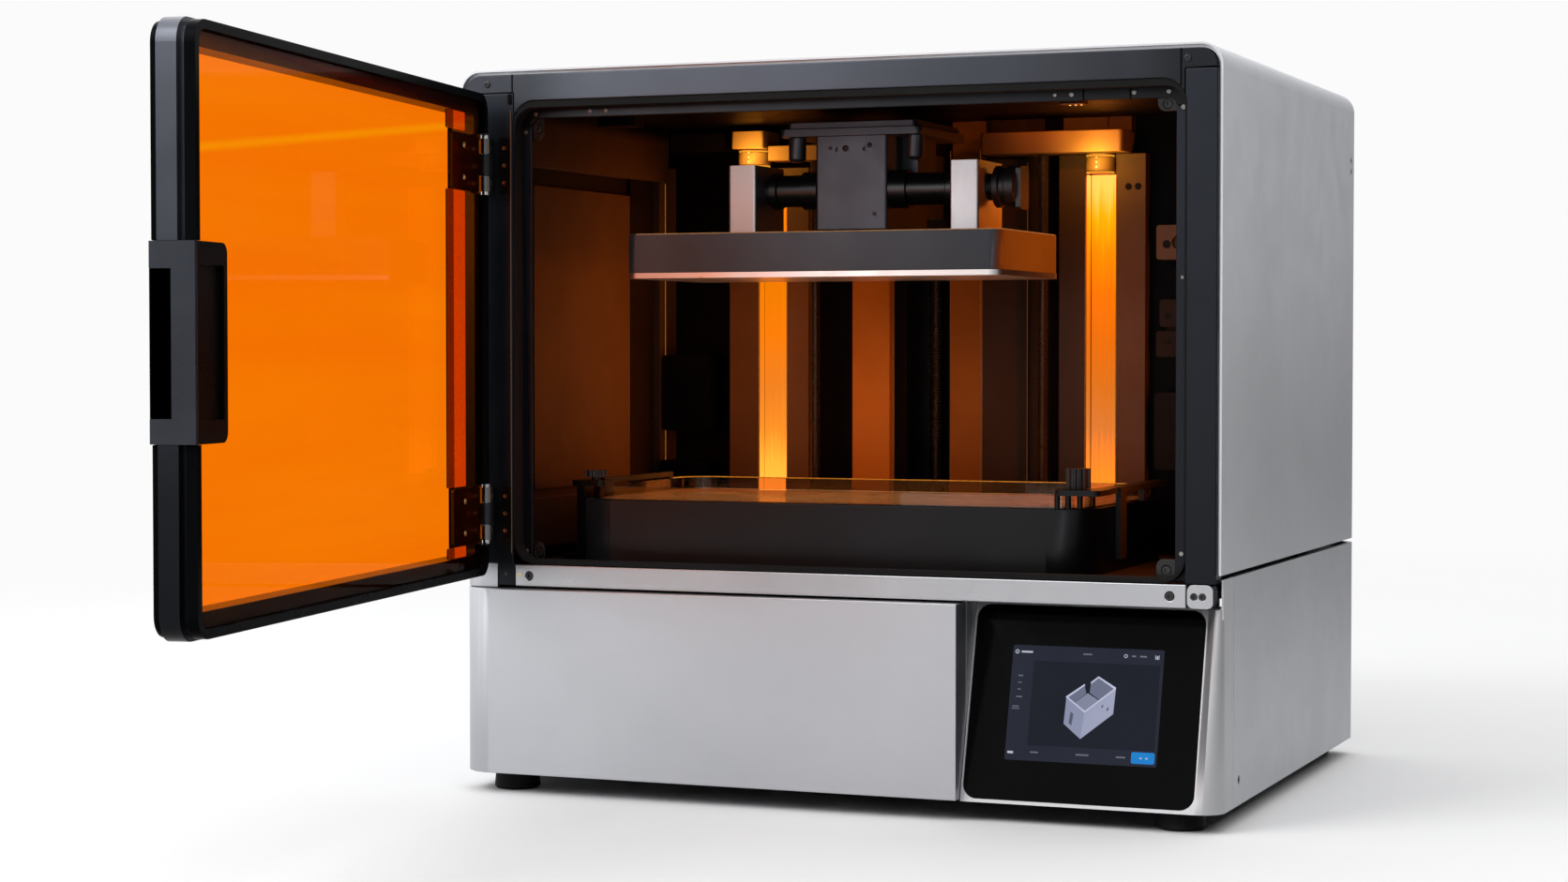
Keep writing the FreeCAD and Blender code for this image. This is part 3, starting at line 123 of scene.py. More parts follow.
def surface(name, c1, c2, rough, rough_var=0.05, metallic=0.0, grain=1800.0, bump=0.08, dist=0.00012,
            stretch=(1, 1, 1), patch=7.0, spec=0.5, coat=0.0, coat_rough=0.08, aniso=0.0):
    """A worked surface: broad tone drift, smudged gloss and a fine grain at its real scale."""
    m, nt, bs = new_material(name)
    flat = coords(nt)
    grainy = coords(nt, stretch)
    drift = remap(nt, noise(nt, flat, patch, 4.0, 0.55), 0.0, 1.0, 0.36, 0.64)
    nt.links.new(two_tone(nt, drift, c1, c2), bs.inputs["Base Color"])
    fine = noise(nt, grainy, grain, 2.0, 0.6)
    smudge = noise(nt, flat, patch * 5.0, 5.0, 0.6)
    add = nt.nodes.new("ShaderNodeMath")
    add.operation = "ADD"
    nt.links.new(remap(nt, smudge, rough - rough_var, rough + rough_var), add.inputs[0])
    nt.links.new(remap(nt, fine, -rough_var * 0.4, rough_var * 0.4), add.inputs[1])
    nt.links.new(add.outputs[0], bs.inputs["Roughness"])
    bs.inputs["Metallic"].default_value = metallic
    bs.inputs["Specular IOR Level"].default_value = spec
    bs.inputs["Coat Weight"].default_value = coat
    bs.inputs["Coat Roughness"].default_value = coat_rough
    bs.inputs["Anisotropic"].default_value = aniso
    add_bump(nt, bs, fine, bump, dist)
    return m


# --------------------------------------------------------------------- finishes, many with painted light and shade
def light_zoned(name, axis, lo, hi, stops, rough, rough_var=0.05, metallic=0.0, grain=1300.0, bump=0.2, dist=0.00012, stretch=(1, 1, 1), spec=0.35, hard=False, also=None, vary=(0.86, 1.12)):
    """A worked surface whose tone is painted light and shade along one axis: stops are (place in metres, colour). also
    scales it along a second axis, again as painted light and shade.
    """
    m, nt, bs = new_material(name)
    flat = coords(nt)
    sp = nt.nodes.new("ShaderNodeSeparateXYZ")
    nt.links.new(flat, sp.inputs[0])
    ramp = nt.nodes.new("ShaderNodeValToRGB")
    ramp.color_ramp.interpolation = "CONSTANT" if hard else "EASE"
    e = ramp.color_ramp.elements
    for k, (at, col) in enumerate(stops):
        el = e[k] if k < 2 else e.new((at - lo) / (hi - lo))
        el.position = (at - lo) / (hi - lo)
        el.color = (*col, 1)
    nt.links.new(remap(nt, sp.outputs[axis], 0.0, 1.0, lo, hi), ramp.inputs[0])
    drift = remap(nt, noise(nt, flat, 9.0, 4.0, 0.55), vary[0], vary[1], 0.36, 0.64)
    if also:
        axis2, lo2, hi2, stops2 = also
        ramp2 = nt.nodes.new("ShaderNodeValToRGB")
        ramp2.color_ramp.interpolation = "EASE"
        e2 = ramp2.color_ramp.elements
        for k, (at, val) in enumerate(stops2):
            el = e2[k] if k < 2 else e2.new((at - lo2) / (hi2 - lo2))
            el.position = (at - lo2) / (hi2 - lo2)
            el.color = (val, val, val, 1)
        nt.links.new(remap(nt, sp.outputs[axis2], 0.0, 1.0, lo2, hi2), ramp2.inputs[0])
        both = nt.nodes.new("ShaderNodeMath")
        both.operation = "MULTIPLY"
        nt.links.new(drift, both.inputs[0])
        nt.links.new(ramp2.outputs[0], both.inputs[1])
        drift = both.outputs[0]
    mul = nt.nodes.new("ShaderNodeVectorMath")
    mul.operation = "SCALE"
    nt.links.new(ramp.outputs[0], mul.inputs[0])
    nt.links.new(drift, mul.inputs["Scale"])
    nt.links.new(mul.outputs[0], bs.inputs["Base Color"])
    fine = noise(nt, coords(nt, stretch), grain, 2.0, 0.6)
    smudge = noise(nt, flat, 40.0, 5.0, 0.6)
    nt.links.new(remap(nt, smudge, rough - rough_var, rough + rough_var), bs.inputs["Roughness"])
    bs.inputs["Metallic"].default_value = metallic
    bs.inputs["Specular IOR Level"].default_value = spec
    add_bump(nt, bs, fine, bump, dist)
    return m


SILVER = surface("silver_blasted", (0.432, 0.440, 0.468), (0.468, 0.475, 0.500), 0.40, 0.035, 1.0, 2600, 0.10, 0.00008)
# Painted shade: the upper side panel darkens from the front towards the back, as its light falls off.
SILVER_SIDE_FALLOFF = light_zoned("silver_side_blasted_painted_falloff", "Y", -0.21, 0.21, [(-0.21, (0.545, 0.552, 0.580)), (-0.06, (0.470, 0.478, 0.505)), (0.20, (0.425, 0.434, 0.462))], 0.40, 0.035, 1.0, 2600, 0.10, 0.00008, vary=(0.975, 1.02))
# Painted shade: the base's side panel darkens from the front towards the back.
SILVER_BASE_FALLOFF = light_zoned("silver_base_blasted_painted_falloff", "Y", -0.21, 0.21, [(-0.21, (0.450, 0.458, 0.484)), (-0.05, (0.415, 0.423, 0.450)), (0.20, (0.370, 0.378, 0.404))], 0.40, 0.035, 1.0, 2600, 0.10, 0.00008, vary=(0.975, 1.02))
# Painted highlight: the handle's outer end is a lighter grey, the rest near black.
HANDLE_EDGE_HIGHLIGHT = light_zoned("handle_anodised_painted_highlight", "Y", -0.70, -0.60, [(-0.70, (0.050, 0.054, 0.066)), (-0.6790, (0.0040, 0.0042, 0.0048))], 0.30, 0.04, 0.4, 2200, 0.06, 0.00006, spec=0.10, hard=True)
SILVER_SOFT = surface("silver_moulded", (0.55, 0.555, 0.575), (0.60, 0.605, 0.625), 0.42, 0.035, 0.55, 2600, 0.10, 0.00008)
SILVER_TRIM = surface("silver_brushed", (0.385, 0.392, 0.412), (0.445, 0.450, 0.470), 0.32, 0.05, 1.0, 900, 0.10, 0.00006, (0.06, 1, 1))
SILVER_POST = surface("silver_milled", (0.44, 0.44, 0.455), (0.50, 0.50, 0.515), 0.36, 0.05, 0.85, 1100, 0.10, 0.00006, (1, 1, 0.08))
BUILD_ALU = surface("build_face_milled", (0.66, 0.64, 0.63), (0.78, 0.76, 0.75), 0.33, 0.06, 1.0, 700, 0.25, 0.0001, (0.1, 1, 1))
# Painted light: the stiles are darker at the bottom and lighter towards the top.
GRAPHITE_TOP_LIT = light_zoned("graphite_painted_top_light", "Z", 0.13, 0.48, [(0.14, (0.0060, 0.0072, 0.0105)), (0.31, (0.0125, 0.0152, 0.0212)), (0.47, (0.0200, 0.0240, 0.0325))], 0.36, 0.04, 0.55, 2200, 0.08, 0.00008, vary=(0.93, 1.06))
# Painted light and shade: the top rail's front face is lighter than its shaded underside, and along the rail it is
# brightest left of the middle and darker towards both ends.
GRAPHITE_PAINTED_LIGHT = light_zoned("graphite_painted_light", "Y", -0.206, -0.190, [(-0.206, (0.057, 0.062, 0.078)), (-0.2038, (0.020, 0.022, 0.027)), (-0.1935, (0.020, 0.0215, 0.026))], 0.36, 0.04, 0.6, 2200, 0.08, 0.00008, spec=0.35, hard=True, also=("X", -0.26, 0.26, [(-0.26, 0.5), (-0.215, 0.55), (-0.165, 1.18), (-0.03, 1.12), (0.10, 0.78), (0.20, 0.46), (0.236, 0.20)]), vary=(0.95, 1.05))
# Painted light: the door frame goes from near black at the bottom to light grey at the top, as if lit from above.
DOOR_BAND_TOP_LIT = light_zoned("door_painted_top_light", "Z", 0.14, 0.47, [(0.145, (0.0040, 0.0046, 0.0064)), (0.21, (0.0080, 0.0090, 0.0120)), (0.30, (0.032, 0.0352, 0.0445)), (0.38, (0.064, 0.069, 0.084)), (0.462, (0.112, 0.119, 0.142))],
                  0.34, 0.04, 0.55, 2200, 0.08, 0.00008, spec=0.18)
DOOR_BLACK = surface("door_gloss_black", (0.0030, 0.0032, 0.0038), (0.0046, 0.0049, 0.0056), 0.26, 0.04, 0.05, 2200, 0.05, 0.00006, spec=0.012)
KNUCKLE = surface("hinge_steel", (0.16, 0.155, 0.15), (0.22, 0.215, 0.21), 0.24, 0.05, 1.0, 1800, 0.08, 0.00006)
GRAPHITE_DARK = surface("graphite_dark", (0.016, 0.017, 0.020), (0.021, 0.022, 0.026), 0.34, 0.05, 0.4, 2200, 0.08, 0.00008)
BLACK_ANOD = surface("black_anodised", (0.0095, 0.010, 0.0118), (0.0135, 0.0142, 0.0165), 0.34, 0.05, 0.45, 2400, 0.08, 0.00008, spec=0.35)
# Painted light: the plinth is lighter at its left end and darkens towards the right.
PLINTH_FALLOFF = light_zoned("plinth_anodised_painted_falloff", "X", -0.22, 0.20, [(-0.190, (0.042, 0.044, 0.051)), (-0.143, (0.026, 0.0275, 0.032)), (-0.074, (0.0180, 0.019, 0.022)), (0.0, (0.0155, 0.0163, 0.019)), (0.10, (0.0140, 0.0147, 0.017)), (0.150, (0.0080, 0.0084, 0.0098))], 0.34, 0.05, 0.45, 2400, 0.08, 0.00008, spec=0.35)
ARM_BLACK = surface("arm_anodised", (0.063, 0.066, 0.079), (0.078, 0.082, 0.096), 0.40, 0.05, 0.7, 1800, 0.12, 0.0001)
# Painted light: the platform is lighter at its left end and darkens towards the right.
PLATE_FALLOFF = light_zoned("platform_anodised_painted_falloff", "X", -0.20, 0.20, [(-0.150, (0.084, 0.090, 0.106)), (-0.115, (0.056, 0.060, 0.071)), (-0.074, (0.050, 0.054, 0.064)), (-0.034, (0.041, 0.0445, 0.053)), (0.006, (0.034, 0.0368, 0.044)), (0.15, (0.033, 0.036, 0.043))], 0.36, 0.04, 0.6, 2000, 0.08, 0.00008, spec=0.5, vary=(0.93, 1.07))
FLOOR_COAT = surface("floor_powder_coat", (0.0105, 0.0100, 0.0096), (0.0145, 0.0138, 0.0132), 0.46, 0.06, 0.1, 1300, 0.30, 0.00018, spec=0.2)
POWDER = surface("black_powder_coat", (0.030, 0.029, 0.028), (0.042, 0.040, 0.038), 0.46, 0.06, 0.1, 1300, 0.30, 0.00018, spec=0.25)
# Painted shade: blocks left of the middle are near black, and the right ones are dark low down and lighter only at the
# top.
BLOCK_SHADED = light_zoned("block_coat_painted_shade", "X", -0.24, 0.24, [(-0.24, (0.0040, 0.0038, 0.0036)), (0.0, (0.092, 0.084, 0.074))], 0.42, 0.06, 0.1, 1300, 0.25, 0.00014, spec=0.10, hard=True, also=("Z", 0.16, 0.46, [(0.16, 0.06), (0.270, 0.06), (0.292, 0.15), (0.335, 0.18), (0.356, 1.0)]))
GUSSET = surface("gusset_coat", (0.030, 0.029, 0.029), (0.042, 0.041, 0.041), 0.34, 0.05, 0.5, 2200, 0.08, 0.00008)
# Painted shade: the liner is darker low down, lighter along the walls and near black on the ceiling.
LINER_SHADED = light_zoned("liner_powder_coat_painted_shade", "Z", 0.15, 0.47, [(0.15, (0.034, 0.032, 0.030)), (0.20, (0.046, 0.043, 0.040)), (0.40, (0.058, 0.055, 0.052)), (0.447, (0.040, 0.038, 0.036)), (0.4575, (0.002, 0.0019, 0.0018))],
              0.5, 0.06, 0.0, 1300, 0.30, 0.00018, spec=0.12)
# Painted light and shade: each column face gets its own tone, lighter or darker as the strips light it.
COLUMN_STRIP_LIT = light_zoned("column_anodised_painted_light", "X", -0.18, 0.14, [(-0.18, (0.052, 0.049, 0.047)), (-0.150, (0.082, 0.078, 0.075)), (0.0, (0.033, 0.029, 0.024)), (0.1070, (0.098, 0.087, 0.070))], 0.42, 0.05, 0.12, 900, 0.14, 0.00008, (1, 1, 0.05), spec=0.2, hard=True)
# Painted light and shade: along x the rear wall's bands are amber-lit or near black one by one, and they grow darker
# towards the top under the platform.
REAR_SHEET_PAINTED_LIGHT = light_zoned("rear_sheet_painted_light", "X", -0.25, 0.25, [(-0.25, (0.0015, 0.0014, 0.0013)), (-0.0842, (0.320, 0.225, 0.085)), (-0.0538, (0.0015, 0.0014, 0.0013)), (-0.0084, (0.185, 0.135, 0.065)), (0.0159, (0.030, 0.027, 0.023)), (0.0503, (0.022, 0.021, 0.020)), (0.0640, (0.0015, 0.0014, 0.0013)), (0.0770, (0.09, 0.087, 0.084)), (0.1283, (0.0015, 0.0014, 0.0013))],
                   0.42, 0.06, 0.12, 900, 0.16, 0.00008, (1, 1, 0.05), spec=0.06, hard=True, also=("Z", 0.19, 0.36, [(0.19, 1.0), (0.25, 1.0), (0.335, 0.60)]))
# Painted light: the bracket is light at both ends, by the lamps, and dark in the middle.
BRACKET_LAMP_LIT = light_zoned("bracket_anodised_painted_light", "X", -0.20, 0.15, [(-0.19, (0.245, 0.222, 0.195)), (-0.09, (0.245, 0.222, 0.195)), (0.030, (0.042, 0.038, 0.032)), (0.062, (0.085, 0.077, 0.063)), (0.090, (0.165, 0.150, 0.125)), (0.118, (0.28, 0.255, 0.22))], 0.40, 0.05, 0.20, 1100, 0.12, 0.00008, (0.08, 1, 1), spec=0.2)
STEEL = surface("ground_steel", (0.50, 0.50, 0.50), (0.60, 0.60, 0.60), 0.24, 0.06, 1.0, 1500, 0.12, 0.00006, (1, 1, 0.06))
ROD_STEEL = surface("rod_steel", (0.055, 0.053, 0.050), (0.085, 0.082, 0.078), 0.26, 0.06, 0.8, 1500, 0.10, 0.00006)
PIN_STEEL = surface("polished_steel", (0.70, 0.70, 0.70), (0.80, 0.80, 0.79), 0.12, 0.04, 1.0, 1500, 0.05, 0.00004)
DARK_STEEL = surface("oxide_steel", (0.030, 0.030, 0.032), (0.045, 0.045, 0.047), 0.30, 0.06, 0.8, 1500, 0.10, 0.00008)
SCREW_STEEL = surface("screw_steel", (0.20, 0.19, 0.18), (0.30, 0.29, 0.28), 0.27, 0.06, 1.0, 2600, 0.10, 0.00005)
BRASS = surface("turned_brass", (0.58, 0.40, 0.16), (0.68, 0.49, 0.21), 0.26, 0.06, 1.0, 1400, 0.12, 0.00006)
PLASTIC = surface("moulded_black", (0.012, 0.012, 0.013), (0.018, 0.018, 0.019), 0.42, 0.06, 0.0, 1600, 0.22, 0.00014)
RUBBER = surface("rubber", (0.007, 0.007, 0.007), (0.011, 0.011, 0.011), 0.62, 0.06, 0.0, 1900, 0.35, 0.00018, spec=0.12)
BOARD = surface("board_green", (0.012, 0.075, 0.035), (0.018, 0.10, 0.05), 0.40, 0.05, 0.0, 700, 0.10, 0.0001, coat=0.4)
SOCKET = surface("socket_dark", (0.004, 0.004, 0.004), (0.007, 0.007, 0.007), 0.6, 0.08, 0.0, 1900, 0.2, 0.0001, spec=0.2)


def clear(name, colour, rough, ior, bump=0.0, tint2=None):
    """A see-through sheet with faint mould flow in its gloss."""
    m, nt, bs = new_material(name)
    v = coords(nt)
    fac = remap(nt, noise(nt, v, 4.0, 3.0), 0.0, 1.0)
    nt.links.new(two_tone(nt, fac, colour, tint2 or colour), bs.inputs["Base Color"])
    nt.links.new(remap(nt, noise(nt, v, 22.0, 5.0), rough, rough + 0.03), bs.inputs["Roughness"])
    bs.inputs["Transmission Weight"].default_value = 1.0
    bs.inputs["IOR"].default_value = ior
    if bump:
        add_bump(nt, bs, noise(nt, v, 9.0, 2.0), bump, 0.0006)
    return m


# Amber sheet: long faint bands across it and one brighter line that rises toward the hinge, both painted reflection
# streaks in its tint.
m, nt, bs = new_material("amber_acrylic")
v = coords(nt)
streak_bands = remap(nt, noise(nt, coords(nt, (0.25, 0.25, 5.0)), 5.0, 3.0), 0.0, 1.0, 0.36, 0.64)
dot = nt.nodes.new("ShaderNodeVectorMath"); dot.operation = "DOT_PRODUCT"
nt.links.new(v, dot.inputs[0]); dot.inputs[1].default_value = (0.01702, -0.10108, 1.0)
off = nt.nodes.new("ShaderNodeMath"); off.operation = "ADD"
nt.links.new(dot.outputs["Value"], off.inputs[0]); off.inputs[1].default_value = -0.46406
mag = nt.nodes.new("ShaderNodeMath"); mag.operation = "ABSOLUTE"
nt.links.new(off.outputs[0], mag.inputs[0])
flow = remap(nt, mag.outputs[0], 0.75, 0.0, 0.0006, 0.0036)
sheet = two_tone(nt, streak_bands, (0.962, 0.176, 0.0004), (0.980, 0.204, 0.0006))
painted_streak_mix = nt.nodes.new("ShaderNodeMix"); painted_streak_mix.data_type = "RGBA"
nt.links.new(flow, painted_streak_mix.inputs[0]); nt.links.new(sheet, painted_streak_mix.inputs[6]); painted_streak_mix.inputs[7].default_value = (0.995, 0.310, 0.0006, 1)
nt.links.new(painted_streak_mix.outputs[2], bs.inputs["Base Color"])
nt.links.new(remap(nt, noise(nt, v, 22.0, 5.0), 0.0, 0.03), bs.inputs["Roughness"])
bs.inputs["Transmission Weight"].default_value = 1.0
bs.inputs["IOR"].default_value = 1.06
AMBER = m
SMOKED = clear("smoked_clear", (0.42, 0.36, 0.30), 0.02, 1.46, 0.0, (0.46, 0.39, 0.33))

# The film with a skin of resin on it: milky, glossy, a little clear.
m, nt, bs = new_material("taut_film")
v = coords(nt)
nt.links.new(two_tone(nt, remap(nt, noise(nt, v, 12.0, 3.0), 0, 1), (0.60, 0.53, 0.43), (0.67, 0.59, 0.49)), bs.inputs["Base Color"])
nt.links.new(remap(nt, noise(nt, v, 30.0, 4.0), 0.08, 0.16), bs.inputs["Roughness"])
bs.inputs["Transmission Weight"].default_value = 0.0
bs.inputs["IOR"].default_value = 1.45
add_bump(nt, bs, noise(nt, v, 30.0, 3.0), 0.05, 0.0005)
FILM = m

m, nt, bs = new_material("mask_glass")
v = coords(nt)
nt.links.new(two_tone(nt, remap(nt, noise(nt, v, 5.0, 3.0), 0, 1), (0.020, 0.016, 0.014), (0.030, 0.024, 0.020)), bs.inputs["Base Color"])
nt.links.new(remap(nt, noise(nt, v, 40.0, 4.0), 0.05, 0.10), bs.inputs["Roughness"])
bs.inputs["Coat Weight"].default_value = 1.0
bs.inputs["Coat Roughness"].default_value = 0.03
MASK = m

m, nt, bs = new_material("cover_glass_black")
v = coords(nt)
nt.links.new(two_tone(nt, remap(nt, noise(nt, v, 11.0, 4.0), 0, 1), (0.0020, 0.0020, 0.0022), (0.0035, 0.0035, 0.0038)), bs.inputs["Base Color"])
nt.links.new(remap(nt, noise(nt, v, 60.0, 6.0), 0.07, 0.13), bs.inputs["Roughness"])
bs.inputs["Specular IOR Level"].default_value = 0.05
GLASS_BLACK = m


def lit(name, c1, c2, strength, pitch=0.00035):
    """A lit screen patch with a fine pixel grid and a faint gradient."""
    m, nt, bs = new_material(name)
    v = coords(nt)
    bs.inputs["Base Color"].default_value = (0.004, 0.004, 0.005, 1)
    bs.inputs["Specular IOR Level"].default_value = 0.05
    nt.links.new(remap(nt, noise(nt, v, 60.0, 6.0), 0.08, 0.14), bs.inputs["Roughness"])
    ck = nt.nodes.new("ShaderNodeTexChecker")
    ck.inputs["Scale"].default_value = 1.0 / pitch
    nt.links.new(v, ck.inputs["Vector"])
    drift = noise(nt, v, 25.0, 2.0)
    ad = nt.nodes.new("ShaderNodeMath")
    ad.operation = "MULTIPLY_ADD"
    nt.links.new(ck.outputs["Fac"], ad.inputs[0])
    ad.inputs[1].default_value = 0.35
    nt.links.new(remap(nt, drift, 0.0, 0.65), ad.inputs[2])
    nt.links.new(two_tone(nt, ad.outputs[0], c1, c2), bs.inputs["Emission Color"])
    bs.inputs["Emission Strength"].default_value = strength
    return m


# Opal light strips: yellow where the lamp sits, at the top of one and the foot of the other, orange and a little milky between.
m, nt, bs = new_material("amber_diffuser")
v = coords(nt)
sep = nt.nodes.new("ShaderNodeSeparateXYZ")
nt.links.new(v, sep.inputs[0])
streak = noise(nt, coords(nt, (1, 1, 0.04)), 500.0, 3.0)
sm = nt.nodes.new("ShaderNodeMath"); sm.operation = "MULTIPLY_ADD"
nt.links.new(remap(nt, streak, -1.0, 1.0), sm.inputs[0]); sm.inputs[1].default_value = 0.03
nt.links.new(remap(nt, sep.outputs["Z"], 0.0, 1.0, 0.16, 0.42), sm.inputs[2])
STRIPS = (
    [(0.0, (1.5, 0.30, 0.010)), (0.10, (2.4, 0.60, 0.060)), (0.20, (2.0, 0.52, 0.045)), (0.30, (0.98, 0.290, 0.022)), (0.42, (0.86, 0.225, 0.016)), (0.56, (0.96, 0.212, 0.003)), (0.70, (0.88, 0.205, 0.001)), (1.0, (1.2, 0.235, 0.002))],
    [(0.0, (1.9, 0.36, 0.020)), (0.15, (1.5, 0.31, 0.018)), (0.30, (0.70, 0.205, 0.034)), (0.42, (0.70, 0.172, 0.012)), (0.55, (0.80, 0.160, 0.003)), (0.68, (0.98, 0.185, 0.001)), (0.79, (1.9, 0.280, 0.001)), (0.89, (2.6, 0.480, 0.003)), (0.97, (3.0, 0.700, 0.110))])
ramps = []
for stops in STRIPS:
    ramp = nt.nodes.new("ShaderNodeValToRGB")
    e = ramp.color_ramp.elements
    for k, (at, col) in enumerate(stops):
        el = e[k] if k < 2 else e.new(at)
        el.position, el.color = at, (*col, 1)
    nt.links.new(sm.outputs[0], ramp.inputs[0])
    ramps.append(ramp.outputs[0])
pick = nt.nodes.new("ShaderNodeMix"); pick.data_type = "RGBA"
nt.links.new(remap(nt, sep.outputs["X"], 0.0, 1.0, -0.03, 0.0), pick.inputs[0])
nt.links.new(ramps[0], pick.inputs[6]); nt.links.new(ramps[1], pick.inputs[7])
nt.links.new(pick.outputs[2], bs.inputs["Emission Color"])
bs.inputs["Emission Strength"].default_value = 1.0
bs.inputs["Base Color"].default_value = (0.10, 0.02, 0.001, 1)
bs.inputs["Roughness"].default_value = 0.35
bs.inputs["Specular IOR Level"].default_value = 0.1
DIFFUSER = m

# ------------------------------------------------- finishes on the CAD nodes
LOOK = {
    SILVER: ["front_cover"],
    SILVER_SIDE_FALLOFF: ["upper_shell"],
    SILVER_BASE_FALLOFF: ["base_shell"],
    HANDLE_EDGE_HIGHLIGHT: ["door_handle"],
    SILVER_SOFT: ["screen_surround"],
    SILVER_TRIM: ["sill_rail", "sill_end_cap", "power_supply"],
    SILVER_POST: ["platform_posts"],
    BUILD_ALU: ["build_surface"],
    GRAPHITE_TOP_LIT: ["frame_left_stile", "frame_right_stile"],
    GRAPHITE_PAINTED_LIGHT: ["frame_top_rail"],
    GRAPHITE_DARK: ["hinge_leaves_door"],
    GUSSET: ["corner_gussets"],
    DOOR_BAND_TOP_LIT: ["door_frame"],
    DOOR_BLACK: ["door_cover", "door_ring"],
    KNUCKLE: ["hinge_leaves_frame"],
    PLINTH_FALLOFF: ["plinth"],
    BLACK_ANOD: ["tank_clamps", "z_tower", "z_carriage", "light_engine"],
    ARM_BLACK: ["arm_block", "arm_top_plate"],
    PLATE_FALLOFF: ["platform_body"],
    POWDER: ["base_pan", "rear_panel"],
    FLOOR_COAT: ["chamber_floor"],
    BLOCK_SHADED: ["service_blocks"],
    LINER_SHADED: ["chamber_liner"],
    COLUMN_STRIP_LIT: ["light_columns"],
    REAR_SHEET_PAINTED_LIGHT: ["chamber_rear_wall"],
    BRACKET_LAMP_LIT: ["lamp_brackets"],
    STEEL: ["z_rails"],
    ROD_STEEL: ["lead_screw", "tie_rods"],
    PIN_STEEL: ["hinge_pins"],
    DARK_STEEL: ["trunnions", "case_screws", "foot_screws"],
    BRASS: ["lead_nut"],
    PLASTIC: ["z_motor", "clamp_knob_left", "clamp_knob_right", "level_knob", "fan_rotor", "power_inlet", "power_switch"],
    RUBBER: ["feet", "opening_seal"],
    AMBER: ["door_panel"],
    DIFFUSER: ["light_strips"],
    SMOKED: ["tank_tray"],
    MASK: ["exposure_window"],
    FILM: ["tank_film"],
    GLASS_BLACK: ["screen_bezel"],
    BOARD: ["main_board"],
}
for mat, names in LOOK.items():
    for n in names:
        N[n].data.materials.clear()
        N[n].data.materials.append(mat)
N["display_panel"].data.materials.clear()
N["display_panel"].data.materials.append(lit("screen_base", (0.0155, 0.0185, 0.030), (0.0195, 0.023, 0.037), 1.0))


# Broken edges on the machined and moulded pieces, so that they catch the light.
def soften(width, names, segs=2, angle=38):
    for n in names:
        o = N[n]
        w = o.modifiers.new("weld", "WELD")
        w.merge_threshold = 0.000004
        f = o.modifiers.new("flat_faces", "DECIMATE")
        f.decimate_type = "DISSOLVE"
        f.angle_limit = math.radians(0.4)
        b = o.modifiers.new("broken_edge", "BEVEL")
        b.width = width * MM
        b.segments = segs
        b.limit_method = "ANGLE"
        b.angle_limit = math.radians(angle)
        b.use_clamp_overlap = False
        b.harden_normals = True
        b.miter_outer = "MITER_ARC"


soften(0.7, ["platform_body", "plinth", "lamp_brackets", "sill_rail", "frame_top_rail", "frame_left_stile", "frame_right_stile", "door_cover"])
soften(0.5, ["front_cover", "arm_top_plate", "light_columns", "corner_gussets"])
soften(0.2, ["sill_end_cap"])


# ------------------------------------------------------------------ mesh helpers
def piece(name, verts, faces, mat, body, smooth=True, mats=None, mat_index=None):
    me = bpy.data.meshes.new(name)
    me.from_pydata([tuple(p) for p in verts], [], faces)
    me.validate()
    bm = bmesh.new()
    bm.from_mesh(me)
    bmesh.ops.recalc_face_normals(bm, faces=bm.faces)
    bm.to_mesh(me)
    bm.free()
    for mt in (mats or [mat]):
        me.materials.append(mt)
    if mat_index:
        for p, k in zip(me.polygons, mat_index):
            p.material_index = k
    o = bpy.data.objects.new(name, me)
    scene.collection.objects.link(o)
    if smooth:
        me.shade_smooth()
        me.set_sharp_from_angle(angle=math.radians(32))
    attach(o, body)
    return o


def thread(cx, cy, z0, z1, r, depth, pitch, starts, seg, per, chamfer=1.0):
    """A bar with a helical thread, closed at both ends: pitch between crests, starts threads side by side."""
    lead = pitch * starts
    step = pitch / per
    n = int(round((z1 - z0) / step))
    verts, faces = [], []
    for k in range(n + 1):
        z = z0 + (z1 - z0) * k / n
        end = min(z - z0, z1 - z)
        cap = min(1.0, end / chamfer)
        for i in range(seg):
            a = 2 * math.pi * i / seg
            ph = ((z - z0) / pitch - starts * a / (2 * math.pi)) % 1.0
            tri = abs(ph - 0.5) * 2.0
            prof = min(1.0, max(0.0, (tri - 0.22) / 0.46))
            rr = (r - depth * prof) * (0.80 + 0.20 * cap)
            verts.append(((cx + rr * math.cos(a)) * MM, (cy + rr * math.sin(a)) * MM, z * MM))
    for k in range(n):
        for i in range(seg):
            j = (i + 1) % seg
            faces.append((k * seg + i, k * seg + j, (k + 1) * seg + j, (k + 1) * seg + i))
    faces.append(tuple(reversed(range(seg))))
    faces.append(tuple(n * seg + i for i in range(seg)))
    return verts, faces


def merge(*parts):
    verts, faces = [], []
    for v_, f_ in parts:
        b = len(verts)
        verts += v_
        faces += [tuple(i + b for i in f) for f in f_]
    return verts, faces


def basis(normal):
    n = Vector(normal).normalized()
    ref = Vector((0, 0, 1)) if abs(n.z) < 0.9 else Vector((0, 1, 0))
    u = ref.cross(n).normalized()
    return u, n.cross(u), n


